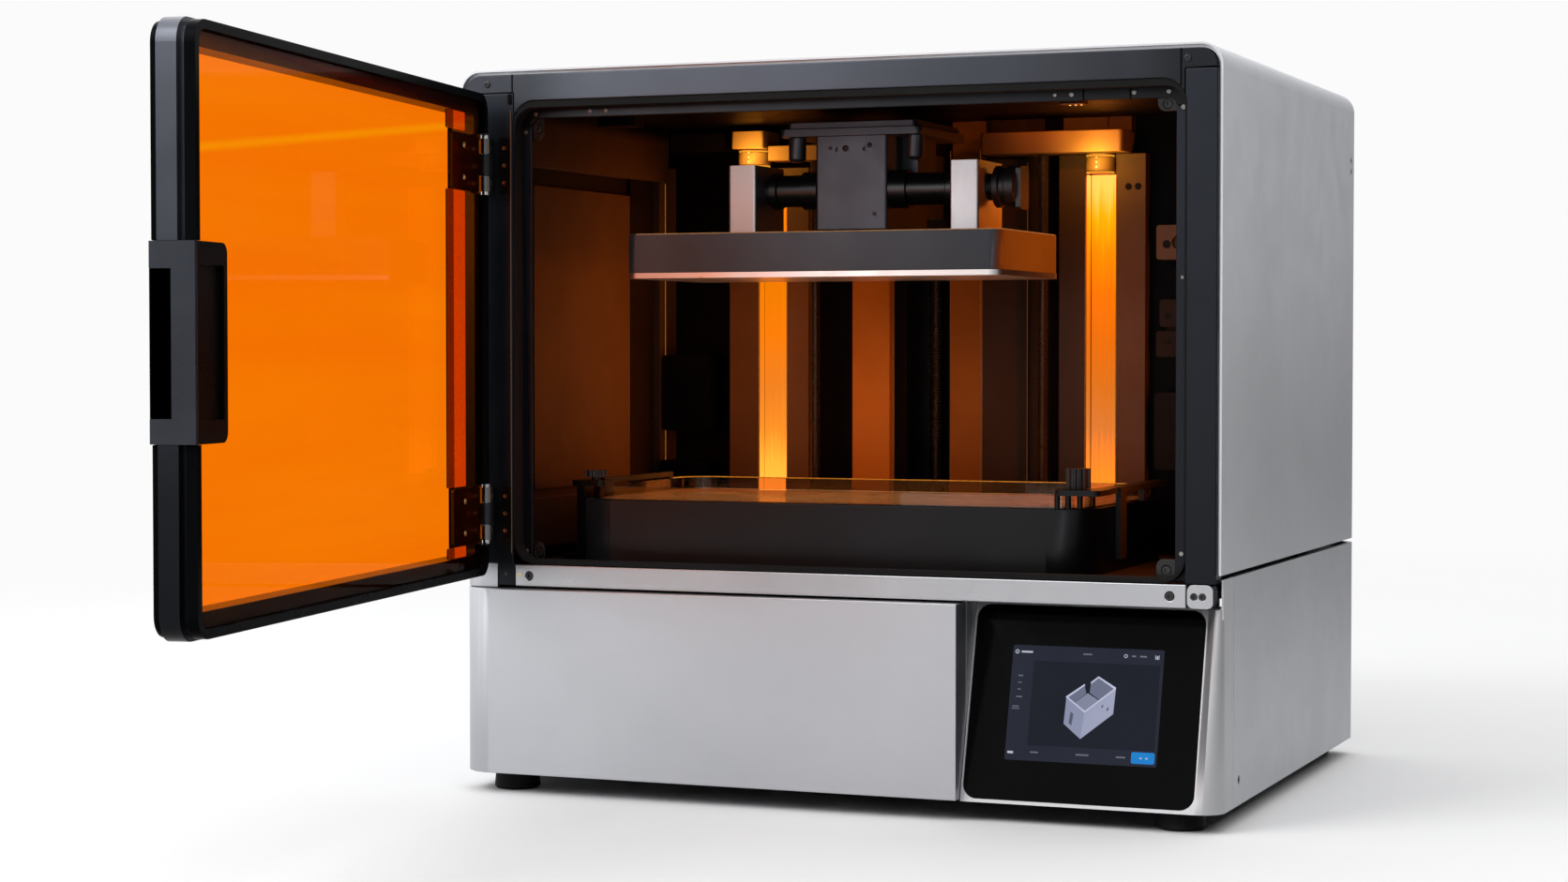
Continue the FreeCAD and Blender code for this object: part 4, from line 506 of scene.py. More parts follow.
def cap_screw(p, normal, r, h, hexagon=0.52, deep=0.62, seg=28):
    """A cap screw head standing on p: rounded rim, hexagon socket with a floor. Sizes in mm."""
    u, w, n = basis(normal)
    rows = [(r * 0.985, 0.0), (r, h * 0.12), (r, h * 0.72), (r * 0.96, h * 0.90), (r * 0.86, h)]
    verts, faces = [], []
    for rr, hh in rows:
        for i in range(seg):
            a = 2 * math.pi * i / seg
            verts.append((Vector(p) + (u * math.cos(a) + w * math.sin(a)) * rr + n * hh) * MM)
    k = len(rows)
    for j in range(k - 1):
        for i in range(seg):
            faces.append((j * seg + i, j * seg + (i + 1) % seg, (j + 1) * seg + (i + 1) % seg, (j + 1) * seg + i))
    top = (k - 1) * seg

    def hexr(a):
        s = math.pi / 3
        return r * hexagon * math.cos(s / 2) / math.cos((a % s) - s / 2)

    for hh in (h, h * (1 - deep)):
        for i in range(seg):
            a = 2 * math.pi * i / seg
            verts.append((Vector(p) + (u * math.cos(a) + w * math.sin(a)) * hexr(a) + n * hh) * MM)
    for j in range(2):
        b0 = top + j * seg
        for i in range(seg):
            faces.append((b0 + i, b0 + (i + 1) % seg, b0 + seg + (i + 1) % seg, b0 + seg + i))
    faces.append(tuple(top + 2 * seg + i for i in range(seg)))
    faces.append(tuple(reversed(range(seg))))
    return verts, faces


def plug_ring(p, normal, r_out, r_in, h, seg=24):
    """A shallow eyelet with a dark well: rim, lip and floor."""
    u, w, n = basis(normal)
    rows = [(r_out, 0.0), (r_out * 0.97, h), (r_in, h), (r_in * 0.96, h * 0.1)]
    verts, faces = [], []
    for rr, hh in rows:
        for i in range(seg):
            a = 2 * math.pi * i / seg
            verts.append((Vector(p) + (u * math.cos(a) + w * math.sin(a)) * rr + n * hh) * MM)
    for j in range(len(rows) - 1):
        for i in range(seg):
            faces.append((j * seg + i, j * seg + (i + 1) % seg, (j + 1) * seg + (i + 1) % seg, (j + 1) * seg + i))
    faces.append(tuple((len(rows) - 1) * seg + i for i in range(seg)))
    faces.append(tuple(reversed(range(seg))))
    return verts, faces


# ------------------------------------------------------- threads on screw and rods
v_, f_ = thread(-27.0, 96.0, 149.2, 474.0, 6.0, 0.85, 2.0, 4, 28, 6)
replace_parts(piece("lead_screw_threaded", v_, f_, ROD_STEEL, "screw"), "lead_screw")
rods = [thread(x, 54.0, 152.1, 434.6, 4.0, 0.6, 1.5, 1, 20, 6) for x in (67.0, -107.0)]
v_, f_ = merge(*rods)
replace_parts(piece("tie_rods_threaded", v_, f_, ROD_STEEL, "chassis"), "tie_rods")

# ------------------------------------------------------------- small fasteners
front = -205.0
heads = [cap_screw((x, front, z), (0, -1, 0), 2.2, 0.7) for x, z in ((238.2, 472.6), (-240.0, 472.6))]
v_, f_ = merge(*heads)
piece("frame_corner_screws", v_, f_, DARK_STEEL, "chassis")

arm = [cap_screw((-27.0 + 13.5, -82.5, 434.5), (0, -1, 0), 1.7, 0.6), cap_screw((-27.0 - 4.0, -82.5, 432.6), (0, -1, 0), 2.2, 0.7)]
v_, f_ = merge(*arm)
piece("arm_screws", v_, f_, DARK_STEEL, "carriage")
eye = [plug_ring((-27.0 - 15.0, -82.5, 433.0), (0, -1, 0), 1.4, 0.9, 0.25), plug_ring((-27.0 + 17.0, -82.5, 388.0), (0, -1, 0), 1.5, 1.0, 0.25)]
v_, f_ = merge(*eye)
piece("arm_plugs", v_, f_, ARM_BLACK, "carriage")

# Lip and gusset screws round the opening, and the small fittings of the sill and the columns.
lip = [cap_screw((x, -193.0, z), (0, -1, 0), r, 0.55) for x, z, r in (
    (223.3, 453.9, 1.5), (201.4, 453.9, 1.5), (161.4, 453.9, 1.5), (150.7, 453.9, 1.2), (-158.1, 453.9, 1.5), (-169.8, 453.9, 1.5), (-210.1, 453.0, 1.5),
    (232.5, 444.0, 1.5), (-217.4, 441.0, 1.4), (232.2, 340.0, 1.1), (232.2, 170.5, 1.4), (-217.4, 161.0, 1.3))]
v_, f_ = merge(*lip)
piece("lip_screws", v_, f_, SCREW_STEEL, "chassis")
v_, f_ = plug_ring((-216.4, -205.0, 145.6), (0, -1, 0), 1.3, 0.6, 0.3)
piece("outer_sill_eyelet", v_, f_, BRASS, "chassis")
v_, f_ = plug_ring((-227.0, -205.0, 146.0), (0, -1, 0), 1.3, 0.8, 0.3)
piece("outer_toe_eyelet", v_, f_, DARK_STEEL, "chassis")
holes = [plug_ring((x, 62.0, 411.0), (0, -1, 0), 2.5, 1.9, 0.2) for x in (127.0, 134.0)]
v_, f_ = merge(*holes)
piece("column_plugs", v_, f_, SOCKET, "chassis")
ports = [plug_ring((157.4, 52.0, 369.6), (0, -1, 0), 2.9, 2.4, 0.3), plug_ring((158.7, 50.0, 319.4), (0, -1, 0), 2.0, 1.6, 0.3), plug_ring((158.7, 52.0, 301.4), (0, -1, 0), 1.8, 1.4, 0.3)]
v_, f_ = merge(*ports)
piece("service_ports", v_, f_, SOCKET, "chassis")


def glow(name, c1, c2, strength):
    """A small lit lens with a soft drift in its tone."""
    m, nt, bs = new_material(name)
    v = coords(nt)
    nt.links.new(two_tone(nt, remap(nt, noise(nt, v, 400.0, 2.0), 0.0, 1.0), c1, c2), bs.inputs["Emission Color"])
    bs.inputs["Emission Strength"].default_value = strength
    bs.inputs["Base Color"].default_value = (0.05, 0.015, 0.002, 1)
    nt.links.new(remap(nt, noise(nt, v, 300.0, 3.0), 0.25, 0.4), bs.inputs["Roughness"])
    return m


def dome(p, normal, r, h, seg=14, rows=4):
    """A small lens: a shallow dome with a closed foot."""
    u, w, n = basis(normal)
    verts, faces = [], []
    for k in range(rows):
        a = math.pi / 2 * k / rows
        for i in range(seg):
            b = 2 * math.pi * i / seg
            verts.append((Vector(p) + (u * math.cos(b) + w * math.sin(b)) * r * math.cos(a) + n * h * math.sin(a)) * MM)
    verts.append((Vector(p) + n * h) * MM)
    for k in range(rows - 1):
        for i in range(seg):
            j = (i + 1) % seg
            faces.append((k * seg + i, k * seg + j, (k + 1) * seg + j, (k + 1) * seg + i))
    for i in range(seg):
        faces.append(((rows - 1) * seg + i, (rows - 1) * seg + (i + 1) % seg, rows * seg))
    faces.append(tuple(reversed(range(seg))))
    return verts, faces


def hoop(c, r, t, seg=48, ring=8):
    """A thin round bead about the vertical axis."""
    verts, faces = [], []
    for i in range(seg):
        a = 2 * math.pi * i / seg
        for k in range(ring):
            b = 2 * math.pi * k / ring
            rr = r + t * math.cos(b)
            verts.append(((c[0] + rr * math.cos(a)) * MM, (c[1] + rr * math.sin(a)) * MM, (c[2] + t * math.sin(b)) * MM))
    for i in range(seg):
        for k in range(ring):
            i2, k2 = (i + 1) % seg, (k + 1) % ring
            faces.append((i * ring + k, i2 * ring + k, i2 * ring + k2, i * ring + k2))
    return verts, faces


LED = glow("lamp_lens", (1.6, 0.75, 0.20), (1.3, 0.60, 0.12), 1.6)
RIM = glow("lamp_rim", (1.0, 0.42, 0.035), (0.85, 0.33, 0.02), 1.0)
dots = [dome((107.0, 49.9, z), (0, -1, 0), r, 0.6) for z, r in ((431.2, 0.6), (428.0, 0.8), (424.6, 0.9))]
dots += [dome((-155.5, 43.1, z), (0, -1, 0), r, 0.6) for z, r in ((441.0, 0.6), (437.6, 0.8), (434.2, 0.8))]
dots += [dome((x, -116.0, 454.1), (0, 0, -1), 0.8, 0.5) for x in (137.5, 141.2, 145.0)]
v_, f_ = merge(*dots)
piece("lamp_lenses", v_, f_, LED, "chassis")
rims = [hoop((107.0, 60.0, 421.0), 9.5, 0.45), hoop((107.0, 60.0, 432.7), 9.5, 0.5), hoop((-155.5, 55.0, 431.2), 11.0, 0.45), hoop((-155.5, 55.0, 442.0), 11.3, 0.5)]
v_, f_ = merge(*rims)
piece("lamp_rims", v_, f_, RIM, "chassis")

# Painted highlight: a glowing bead stands for the edge light caught by the tray's rim, along the rear and the left
# side.
path = [(-193.6, -14.0), (-193.6, -3.0)]
for k in range(1, 13):
    a = math.radians(180 - 90 * k / 12)
    path.append((-170.5 + 23.1 * math.cos(a), -2.0 + 23.1 * math.sin(a)))
path += [(x, 21.1) for x in range(-150, 139, 24)]


def bead(pts, r, ring=8):
    """A round bead along a level path of (x, y, z) points, closed at its ends."""
    verts, faces = [], []
    n = len(pts)
    for i, q in enumerate(pts):
        a, b = Vector(pts[max(0, i - 1)]), Vector(pts[min(n - 1, i + 1)])
        t = (b - a).normalized()
        side = Vector((0, 0, 1)).cross(t) if abs(t.z) < 0.9 else Vector((1, 0, 0))
        side.normalize()
        up = t.cross(side)
        for k in range(ring):
            w = 2 * math.pi * k / ring
            verts.append((Vector(q) + (side * math.cos(w) + up * math.sin(w)) * r) * MM)
    for i in range(n - 1):
        for k in range(ring):
            k2 = (k + 1) % ring
            faces.append((i * ring + k, i * ring + k2, (i + 1) * ring + k2, (i + 1) * ring + k))
    faces.append(tuple(reversed(range(ring))))
    faces.append(tuple((n - 1) * ring + k for k in range(ring)))
    return verts, faces


EDGE_HIGHLIGHT = glow("edge_painted_highlight", (0.62, 0.21, 0.014), (0.30, 0.10, 0.008), 1.0)
EDGE_DIM_HIGHLIGHT = glow("edge_dim_painted_highlight", (0.30, 0.085, 0.006), (0.17, 0.048, 0.004), 1.0)
v_, f_ = bead([(x, y, 203.15) for x, y in path], 0.35)
piece("tray_rim_painted_highlight", v_, f_, EDGE_HIGHLIGHT, "chassis")
# Painted highlight on the fold of the corner post (a glowing bead), and painted shade as dark sheets on the wall beside
# it and over the wall panel's gap.
v_, f_ = bead([(-227.9, 54.2, z) for z in (208.0, 250.0, 300.0, 350.0, 400.0, 420.0)], 0.45)
piece("liner_fold_painted_highlight", v_, f_, EDGE_DIM_HIGHLIGHT, "chassis")


def sheet(x0, x1, y0, y1, z0, z1, c=1.5, seg=4):
    """A thin upright sheet with rounded corners, thick along x."""
    pts = []
    for cy, cz, a0 in ((y1 - c, z1 - c, 0), (y0 + c, z1 - c, 90), (y0 + c, z0 + c, 180), (y1 - c, z0 + c, 270)):
        for k in range(seg + 1):
            a = math.radians(a0 + 90 * k / seg)
            pts.append((cy + c * math.cos(a), cz + c * math.sin(a)))
    n = len(pts)
    verts = [Vector((x, y, z)) * MM for x in (x0, x1) for y, z in pts]
    faces = [tuple(reversed(range(n))), tuple(range(n, 2 * n))] + [(i, (i + 1) % n, n + (i + 1) % n, n + i) for i in range(n)]
    return verts, faces


# Painted shade: near-black sheets laid on the wall where it lies in shadow.
PAINTED_SHADE = surface("painted_shade_sheet", (0.006, 0.0056, 0.0052), (0.010, 0.0094, 0.0088), 0.5, 0.05, 0.0, 1300, 0.12, 0.0001, spec=0.1)
v_, f_ = merge(sheet(-233.3, -232.8, 4.0, 43.9, 196.0, 420.5), sheet(-236.0, -235.6, -150.0, 43.9, 409.2, 420.6))
piece("liner_painted_shade_sheets", v_, f_, PAINTED_SHADE, "chassis", smooth=False)

# Painted highlights: glowing beads along the lips of the columns beside the strips.
folds = [bead([(x, 61.85, z) for z in (161.0, 240.0, 330.0, 418.0)], 0.35) for x in (-155.2, -132.8, 95.8, 118.2)]
v_, f_ = merge(*folds)
piece("column_lip_painted_highlights", v_, f_, EDGE_DIM_HIGHLIGHT, "chassis")
# Painted highlights: dim glowing beads along the folds of the rear wall's strips.
FOLD_HIGHLIGHT = glow("fold_painted_highlight", (0.12, 0.032, 0.003), (0.07, 0.019, 0.002), 1.0)
v_, f_ = merge(bead([(16.0, 65.9, z) for z in (160.0, 250.0, 340.0, 440.0)], 0.3), bead([(50.0, 70.8, z) for z in (160.0, 250.0, 340.0, 430.0)], 0.3), bead([(-8.0, 69.8, z) for z in (160.0, 250.0, 340.0, 440.0)], 0.25))
piece("rear_fold_painted_highlights", v_, f_, FOLD_HIGHLIGHT, "chassis")
# Painted highlight: a warm glowing bead along the platform's front and right top edges.
EDGE_WARM_HIGHLIGHT = glow("edge_warm_painted_highlight", (0.34, 0.15, 0.045), (0.20, 0.085, 0.025), 1.0)
top_edge = [(x, -148.25, 373.75) for x in (-157.0, -100.0, -40.0, 20.0, 93.0)]
for k in range(1, 7):
    a = math.radians(-90 + 90 * k / 6)
    top_edge.append((93.0 + 7.75 * math.cos(a), -140.5 + 7.75 * math.sin(a), 373.75))
top_edge += [(100.75, y, 373.75) for y in (-120.0, -80.0, -30.0)]
v_, f_ = bead(top_edge, 0.35)
piece("platform_edge_painted_highlight", v_, f_, EDGE_WARM_HIGHLIGHT, "platform")

# Hinge plates on the left stile beside the seal, their screws, a glowing bead painted as the highlight on the joint
# line, and a dark plate painted as the shade of the slot above them.
STILE_LINE_HIGHLIGHT = glow("stile_joint_painted_highlight", (0.075, 0.030, 0.008), (0.045, 0.018, 0.005), 1.0)


def plate_y(x0, x1, z0, z1, y0, y1, c=1.2, seg=4):
    """A thin plate with rounded corners that lies on a front face."""
    pts = []
    for cx, cz, a0 in ((x1 - c, z1 - c, 0), (x0 + c, z1 - c, 90), (x0 + c, z0 + c, 180), (x1 - c, z0 + c, 270)):
        for k in range(seg + 1):
            a = math.radians(a0 + 90 * k / seg)
            pts.append((cx + c * math.cos(a), cz + c * math.sin(a)))
    n = len(pts)
    verts = [Vector((x, y, z)) * MM for y in (y0, y1) for x, z in pts]
    faces = [tuple(reversed(range(n))), tuple(range(n, 2 * n))] + [(i, (i + 1) % n, n + (i + 1) % n, n + i) for i in range(n)]
    return verts, faces


v_, f_ = merge(*[plate_y(-231.2, -223.2, z, z + 37.0, -205.6, -205.0) for z in (168.0, 400.0)])
piece("stile_hinge_plates", v_, f_, BLACK_ANOD, "chassis", smooth=False)
v_, f_ = merge(*[plug_ring((-227.2, -205.6, z), (0, -1, 0), 1.5, 0.9, 0.25) for z in (175.0, 186.5, 198.0, 407.0, 418.5, 430.0)])
piece("stile_plate_screws", v_, f_, BRASS, "chassis")
v_, f_ = merge(*[bead([(-222.6, -205.05, z) for z in (160.0, 230.0, 300.0, 380.0, 455.0)], 0.3)])
piece("stile_joint_highlight_bead", v_, f_, STILE_LINE_HIGHLIGHT, "chassis")
v_, f_ = plate_y(-224.6, -221.6, 458.6, 466.0, -205.25, -204.9, c=1.4)
piece("stile_slot_painted_shade", v_, f_, PAINTED_SHADE, "chassis", smooth=False)

# Strip bonded behind the door's sheet on its hinge side, which glows as painted light seen through the sheet, with a
# dimmer glowing edge, and the screws of the hinge leaves.
D_A = math.radians(80.438)
D_U, D_N, D_H = Vector((math.cos(D_A), -math.sin(D_A), 0)), Vector((math.sin(D_A), math.cos(D_A), 0)), Vector((-238.5, -211.0, 0))


def on_door(u, off, z):
    return D_H + D_U * u + D_N * off + Vector((0, 0, z))


def door_strip(u0, u1, o0, o1, z0, z1, c=1.0, seg=3):
    pts = []
    for cu, cz, a0 in ((u1 - c, z1 - c, 0), (u0 + c, z1 - c, 90), (u0 + c, z0 + c, 180), (u1 - c, z0 + c, 270)):
        for k in range(seg + 1):
            a = math.radians(a0 + 90 * k / seg)
            pts.append((cu + c * math.cos(a), cz + c * math.sin(a)))
    n = len(pts)
    verts = [on_door(u, o, z) * MM for o in (o0, o1) for u, z in pts]
    faces = [tuple(reversed(range(n))), tuple(range(n, 2 * n))] + [(i, (i + 1) % n, n + (i + 1) % n, n + i) for i in range(n)]
    return verts, faces


BOND_GLOW = glow("bonded_strip_painted_light", (0.62, 0.225, 0.04), (0.50, 0.180, 0.03), 1.0)
BOND_EDGE_GLOW = glow("bonded_strip_dark_painted_light", (0.14, 0.060, 0.02), (0.10, 0.042, 0.014), 1.0)
spans = ((160.6, 167.4), (206.6, 399.4), (438.6, 450.4))
v_, f_ = merge(*[door_strip(40.0, 62.5, -2.5, -1.6, a, b) for a, b in spans])
piece("door_bond_painted_light", v_, f_, BOND_GLOW, "door", smooth=False)
v_, f_ = merge(*[door_strip(62.6, 73.5, -2.5, -1.6, a, b) for a, b in spans])
piece("door_bond_edge_painted_light", v_, f_, BOND_EDGE_GLOW, "door", smooth=False)
v_, f_ = merge(*[door_strip(39.6, 73.9, -3.1, -2.55, a, b) for a, b in spans])
piece("door_bond_cover", v_, f_, DOOR_BLACK, "door", smooth=False)
HZ0, HZ1 = 247, 351


def handle_slot_shade_sheet(u0, u1, o0, o1, z0, z1, c=2.0, seg=4):
    """A thin matt near-black sheet on the floor of the finger slot: painted shade for the slot's shadow."""
    pts = []
    for co, cz, a0 in ((o1 - c, z1 - c, 0), (o0 + c, z1 - c, 90), (o0 + c, z0 + c, 180), (o1 - c, z0 + c, 270)):
        for k in range(seg + 1):
            a = math.radians(a0 + 90 * k / seg)
            pts.append((co + c * math.cos(a), cz + c * math.sin(a)))
    n = len(pts)
    verts = [on_door(u, o, z) * MM for u in (u0, u1) for o, z in pts]
    faces = [tuple(reversed(range(n))), tuple(range(n, 2 * n))] + [(i, (i + 1) % n, n + (i + 1) % n, n + i) for i in range(n)]
    return verts, faces


SLOT_SHADE = surface("slot_painted_shade", (0.0010, 0.0010, 0.0011), (0.0016, 0.0016, 0.0018), 0.9, 0.05, 0.0, 1800, 0.2, 0.0001, spec=0.0)
v_, f_ = handle_slot_shade_sheet(467.05, 467.5, -20.4, -8.6, HZ0 + 13.2, HZ1 - 14.2)
piece("handle_slot_painted_shade", v_, f_, SLOT_SHADE, "door", smooth=False)
v_, f_ = door_strip(467.6, 478.3, -20.45, -19.45, HZ0 + 12.6, HZ1 - 13.6)
piece("handle_outer_lip", v_, f_, DOOR_BLACK, "door", smooth=False)
v_, f_ = merge(*[plug_ring(on_door(47.5, 1.5, z), D_N, 2.0, 1.2, 0.4) for z in (176.0, 197.0, 408.0, 429.0)])
piece("door_leaf_screws", v_, f_, BRASS, "door")

# Folded cheek sheet that closes the side of the screen recess behind the cover's end.
section = [(92.1, -192.9), (93.3, -192.9), (93.3, -164.0), (80.0, -164.0), (80.0, -165.2), (91.3, -165.2), (92.1, -166.0)]
k = len(section)
verts = [Vector((x, y, z)) * MM for z in (15.6, 137.2) for x, y in section]
faces = [tuple(reversed(range(k))), tuple(range(k, 2 * k))] + [(i, (i + 1) % k, k + (i + 1) % k, k + i) for i in range(k)]
piece("outer_cheek_sheet", verts, faces, SILVER_SOFT, "chassis", smooth=False)

# ---------------------------------------------------------------- screen content
TILT = math.radians(15.3)
S_N = Vector((0, -math.cos(TILT), math.sin(TILT)))
S_U = Vector((0, math.sin(TILT), math.cos(TILT)))
S_C = Vector((168.6, -204.6, 14.2)) + S_U * 62.0
DW, DH = 98.0, 73.0


def on_screen(s, t, lift):
    """s across from the left, t down from the top, both 0 to 1; lift in mm off the display face."""
    return (S_C + Vector((1, 0, 0)) * (s - 0.5) * DW + S_U * (0.5 - t) * DH + S_N * (lift - 0.25)) * MM


def ui(name, polys, mat, lift):
    """Flat screen patches with a small return to the display, so that none floats."""
    verts, faces = [], []
    for poly in polys:
        b, n = len(verts), len(poly)
        verts += [on_screen(s, t, lift) for s, t in poly]
        verts += [on_screen(s, t, 0.0) for s, t in poly]
        faces.append(tuple(b + i for i in range(n)))
        for i in range(n):
            j = (i + 1) % n
            faces.append((b + i, b + j, b + n + j, b + n + i))
    return piece(name, verts, faces, mat, "chassis", smooth=False)


def bar(s0, t0, s1, t1):
    return [(s0, t0), (s1, t0), (s1, t1), (s0, t1)]


def pill(s0, t0, s1, t1, r, seg=6):
    """Rounded bar; r in mm."""
    rs, rt = r / DW, r / DH
    pts = []
    for cs, ct, a0 in ((s1 - rs, t0 + rt, -90), (s1 - rs, t1 - rt, 0), (s0 + rs, t1 - rt, 90), (s0 + rs, t0 + rt, 180)):
        for k in range(seg + 1):
            a = math.radians(a0 + 90 * k / seg)
            pts.append((cs + rs * math.cos(a), ct + rt * math.sin(a)))
    return pts


def ring_polys(s, t, r0, r1, seg=20):
    out = []
    for k in range(seg):
        a, b = 2 * math.pi * k / seg, 2 * math.pi * (k + 1) / seg
        out.append([(s + r1 * math.cos(a) / DW, t + r1 * math.sin(a) / DH), (s + r1 * math.cos(b) / DW, t + r1 * math.sin(b) / DH),
                    (s + r0 * math.cos(b) / DW, t + r0 * math.sin(b) / DH), (s + r0 * math.cos(a) / DW, t + r0 * math.sin(a) / DH)])
    return out


UI_VIEW = lit("screen_view", (0.0090, 0.0108, 0.0180), (0.0120, 0.0140, 0.0225), 1.0)
UI_DIM = lit("screen_dim_marks", (0.12, 0.13, 0.17), (0.16, 0.17, 0.21), 1.0)
UI_LIGHT = lit("screen_light_marks", (0.40, 0.42, 0.50), (0.52, 0.54, 0.62), 1.0)
UI_BLUE = lit("screen_button", (0.010, 0.180, 0.520), (0.016, 0.225, 0.620), 1.0)
ui("screen_viewport", [bar(0.150, 0.132, 0.985, 0.868)], UI_VIEW, 0.02)
ui("screen_status", ring_polys(0.034, 0.058, 0.75, 1.35) + [bar(0.062, 0.050, 0.138, 0.066)] + ring_polys(0.755, 0.062, 0.75, 1.2)
   + [bar(0.948, 0.045, 0.952, 0.082), bar(0.957, 0.052, 0.966, 0.082), bar(0.970, 0.045, 0.974, 0.082)] + [bar(0.022, 0.925, 0.060, 0.945)], UI_LIGHT, 0.03)
ui("screen_lines", [bar(0.475, 0.054, 0.532, 0.066), bar(0.795, 0.054, 0.822, 0.068), bar(0.848, 0.054, 0.892, 0.068),
                    bar(0.055, 0.262, 0.085, 0.272), bar(0.055, 0.322, 0.078, 0.330), bar(0.055, 0.382, 0.078, 0.390), bar(0.050, 0.446, 0.090, 0.456),
                    bar(0.030, 0.530, 0.072, 0.539), bar(0.026, 0.550, 0.078, 0.558),
                    bar(0.172, 0.920, 0.226, 0.932), bar(0.475, 0.922, 0.560, 0.934), bar(0.738, 0.925, 0.800, 0.937)], UI_DIM, 0.03)
ui("screen_button", [pill(0.838, 0.880, 0.990, 0.978, 1.2)], UI_BLUE, 0.04)
ui("screen_button_marks", [pill(0.892, 0.924, 0.908, 0.936, 0.3), pill(0.930, 0.924, 0.946, 0.936, 0.3)], UI_LIGHT, 0.06)

# A plain open box as the previewed model, in three shades.
BOX = {
    "left": (lit("screen_box_left", (0.24, 0.26, 0.38), (0.29, 0.31, 0.44), 1.0),
             [[(0.385, 0.440), (0.512, 0.560), (0.497, 0.792), (0.380, 0.668)]]),
    "right": (lit("screen_box_right", (0.30, 0.32, 0.45), (0.36, 0.38, 0.52), 1.0),
              [[(0.512, 0.560), (0.706, 0.345), (0.700, 0.565), (0.497, 0.792)]]),
    "inner": (lit("screen_box_inner", (0.125, 0.140, 0.215), (0.165, 0.180, 0.265), 1.0),
              [[(0.398, 0.440), (0.500, 0.335), (0.514, 0.400), (0.436, 0.490)], [(0.536, 0.390), (0.540, 0.312), (0.586, 0.262), (0.692, 0.350), (0.602, 0.448)]]),
    "floor": (lit("screen_box_floor", (0.20, 0.215, 0.31), (0.25, 0.265, 0.37), 1.0),
              [[(0.436, 0.492), (0.524, 0.395), (0.598, 0.452), (0.512, 0.548)]]),
    "rim": (lit("screen_box_rim", (0.46, 0.48, 0.62), (0.55, 0.57, 0.72), 1.0),
            [[(0.380, 0.436), (0.386, 0.428), (0.513, 0.548), (0.512, 0.566)], [(0.512, 0.566), (0.513, 0.548), (0.702, 0.338), (0.708, 0.348)],
             [(0.386, 0.428), (0.498, 0.318), (0.503, 0.330), (0.396, 0.440)], [(0.538, 0.300), (0.587, 0.246), (0.588, 0.262), (0.541, 0.314)],
             [(0.587, 0.246), (0.708, 0.338), (0.694, 0.350), (0.588, 0.262)]]),
    "mark": (lit("screen_box_marks", (0.085, 0.095, 0.150), (0.11, 0.12, 0.18), 1.0),
             [[(0.420, 0.560), (0.440, 0.580), (0.432, 0.680), (0.412, 0.660)], [(0.620, 0.500), (0.632, 0.486), (0.632, 0.506), (0.620, 0.520)],
              [(0.655, 0.520), (0.668, 0.505), (0.668, 0.530), (0.655, 0.545)]]),
}
for k, (mat, polys) in BOX.items():
    ui("screen_model_" + k, polys, mat, {"left": 0.05, "right": 0.05, "inner": 0.05, "floor": 0.06, "rim": 0.08, "mark": 0.07}[k])


# ------------------------------------------------------------------------ stage
def math_node(nt, op, a, b=None, clamp=False):
    n = nt.nodes.new("ShaderNodeMath")
    n.operation = op
    n.use_clamp = clamp
    for k, val in enumerate((a, b)):
        if val is None:
            continue
        if isinstance(val, (int, float)):
            n.inputs[k].default_value = val
        else:
            nt.links.new(val, n.inputs[k])
    return n.outputs[0]


def floor_material():
    """A pale sweep that runs out into the bright room, and stays out of the shaded places of the object."""
    m, nt, bs = new_material("studio_floor")
    out = next(n for n in nt.nodes if n.type == "OUTPUT_MATERIAL")
    v = coords(nt)
    sp = nt.nodes.new("ShaderNodeSeparateXYZ")
    nt.links.new(v, sp.inputs[0])
    lp = nt.nodes.new("ShaderNodeLightPath")
    nt.links.new(two_tone(nt, remap(nt, noise(nt, v, 0.8, 3.0), 0, 1), (0.88, 0.88, 0.885), (0.90, 0.90, 0.90)), bs.inputs["Base Color"])
    nt.links.new(remap(nt, noise(nt, v, 3.0, 4.0), 0.55, 0.65), bs.inputs["Roughness"])
    bs.inputs["Specular IOR Level"].default_value = 0.1
    far = nt.nodes.new("ShaderNodeEmission")
    far.inputs["Color"].default_value = (0.962, 0.962, 0.966, 1)
    ln = nt.nodes.new("ShaderNodeVectorMath"); ln.operation = "LENGTH"
    nt.links.new(v, ln.inputs[0])
    reach = remap(nt, ln.outputs["Value"], 0.0, 1.0, 0.7, 2.6)
    mx = nt.nodes.new("ShaderNodeMixShader")
    nt.links.new(math_node(nt, "MULTIPLY", reach, math_node(nt, "MAXIMUM", lp.outputs["Is Camera Ray"], lp.outputs["Is Transmission Ray"])), mx.inputs[0])
    nt.links.new(bs.outputs[0], mx.inputs[1]); nt.links.new(far.outputs[0], mx.inputs[2])
    dark = nt.nodes.new("ShaderNodeBsdfDiffuse")
    dark.inputs["Color"].default_value = (0.02, 0.02, 0.02, 1)
    mirror_side = math_node(nt, "MULTIPLY", remap(nt, sp.outputs["X"], 0.0, 0.62, 0.38, 0.75), math_node(nt, "SUBTRACT", lp.outputs["Is Glossy Ray"], lp.outputs["Is Transmission Ray"], True))
    mx2 = nt.nodes.new("ShaderNodeMixShader")
    nt.links.new(math_node(nt, "MAXIMUM", lp.outputs["Is Diffuse Ray"], mirror_side), mx2.inputs[0])
    nt.links.new(mx.outputs[0], mx2.inputs[1]); nt.links.new(dark.outputs[0], mx2.inputs[2])
    nt.links.new(mx2.outputs[0], out.inputs["Surface"])
    return m


me = bpy.data.meshes.new("studio_floor")
S = 40.0
me.from_pydata([(-S, -S, -0.0002), (S, -S, -0.0002), (S, S, -0.0002), (-S, S, -0.0002)], [], [(0, 1, 2, 3)])
floor = bpy.data.objects.new("studio_floor", me)
scene.collection.objects.link(floor)
me.materials.append(floor_material())

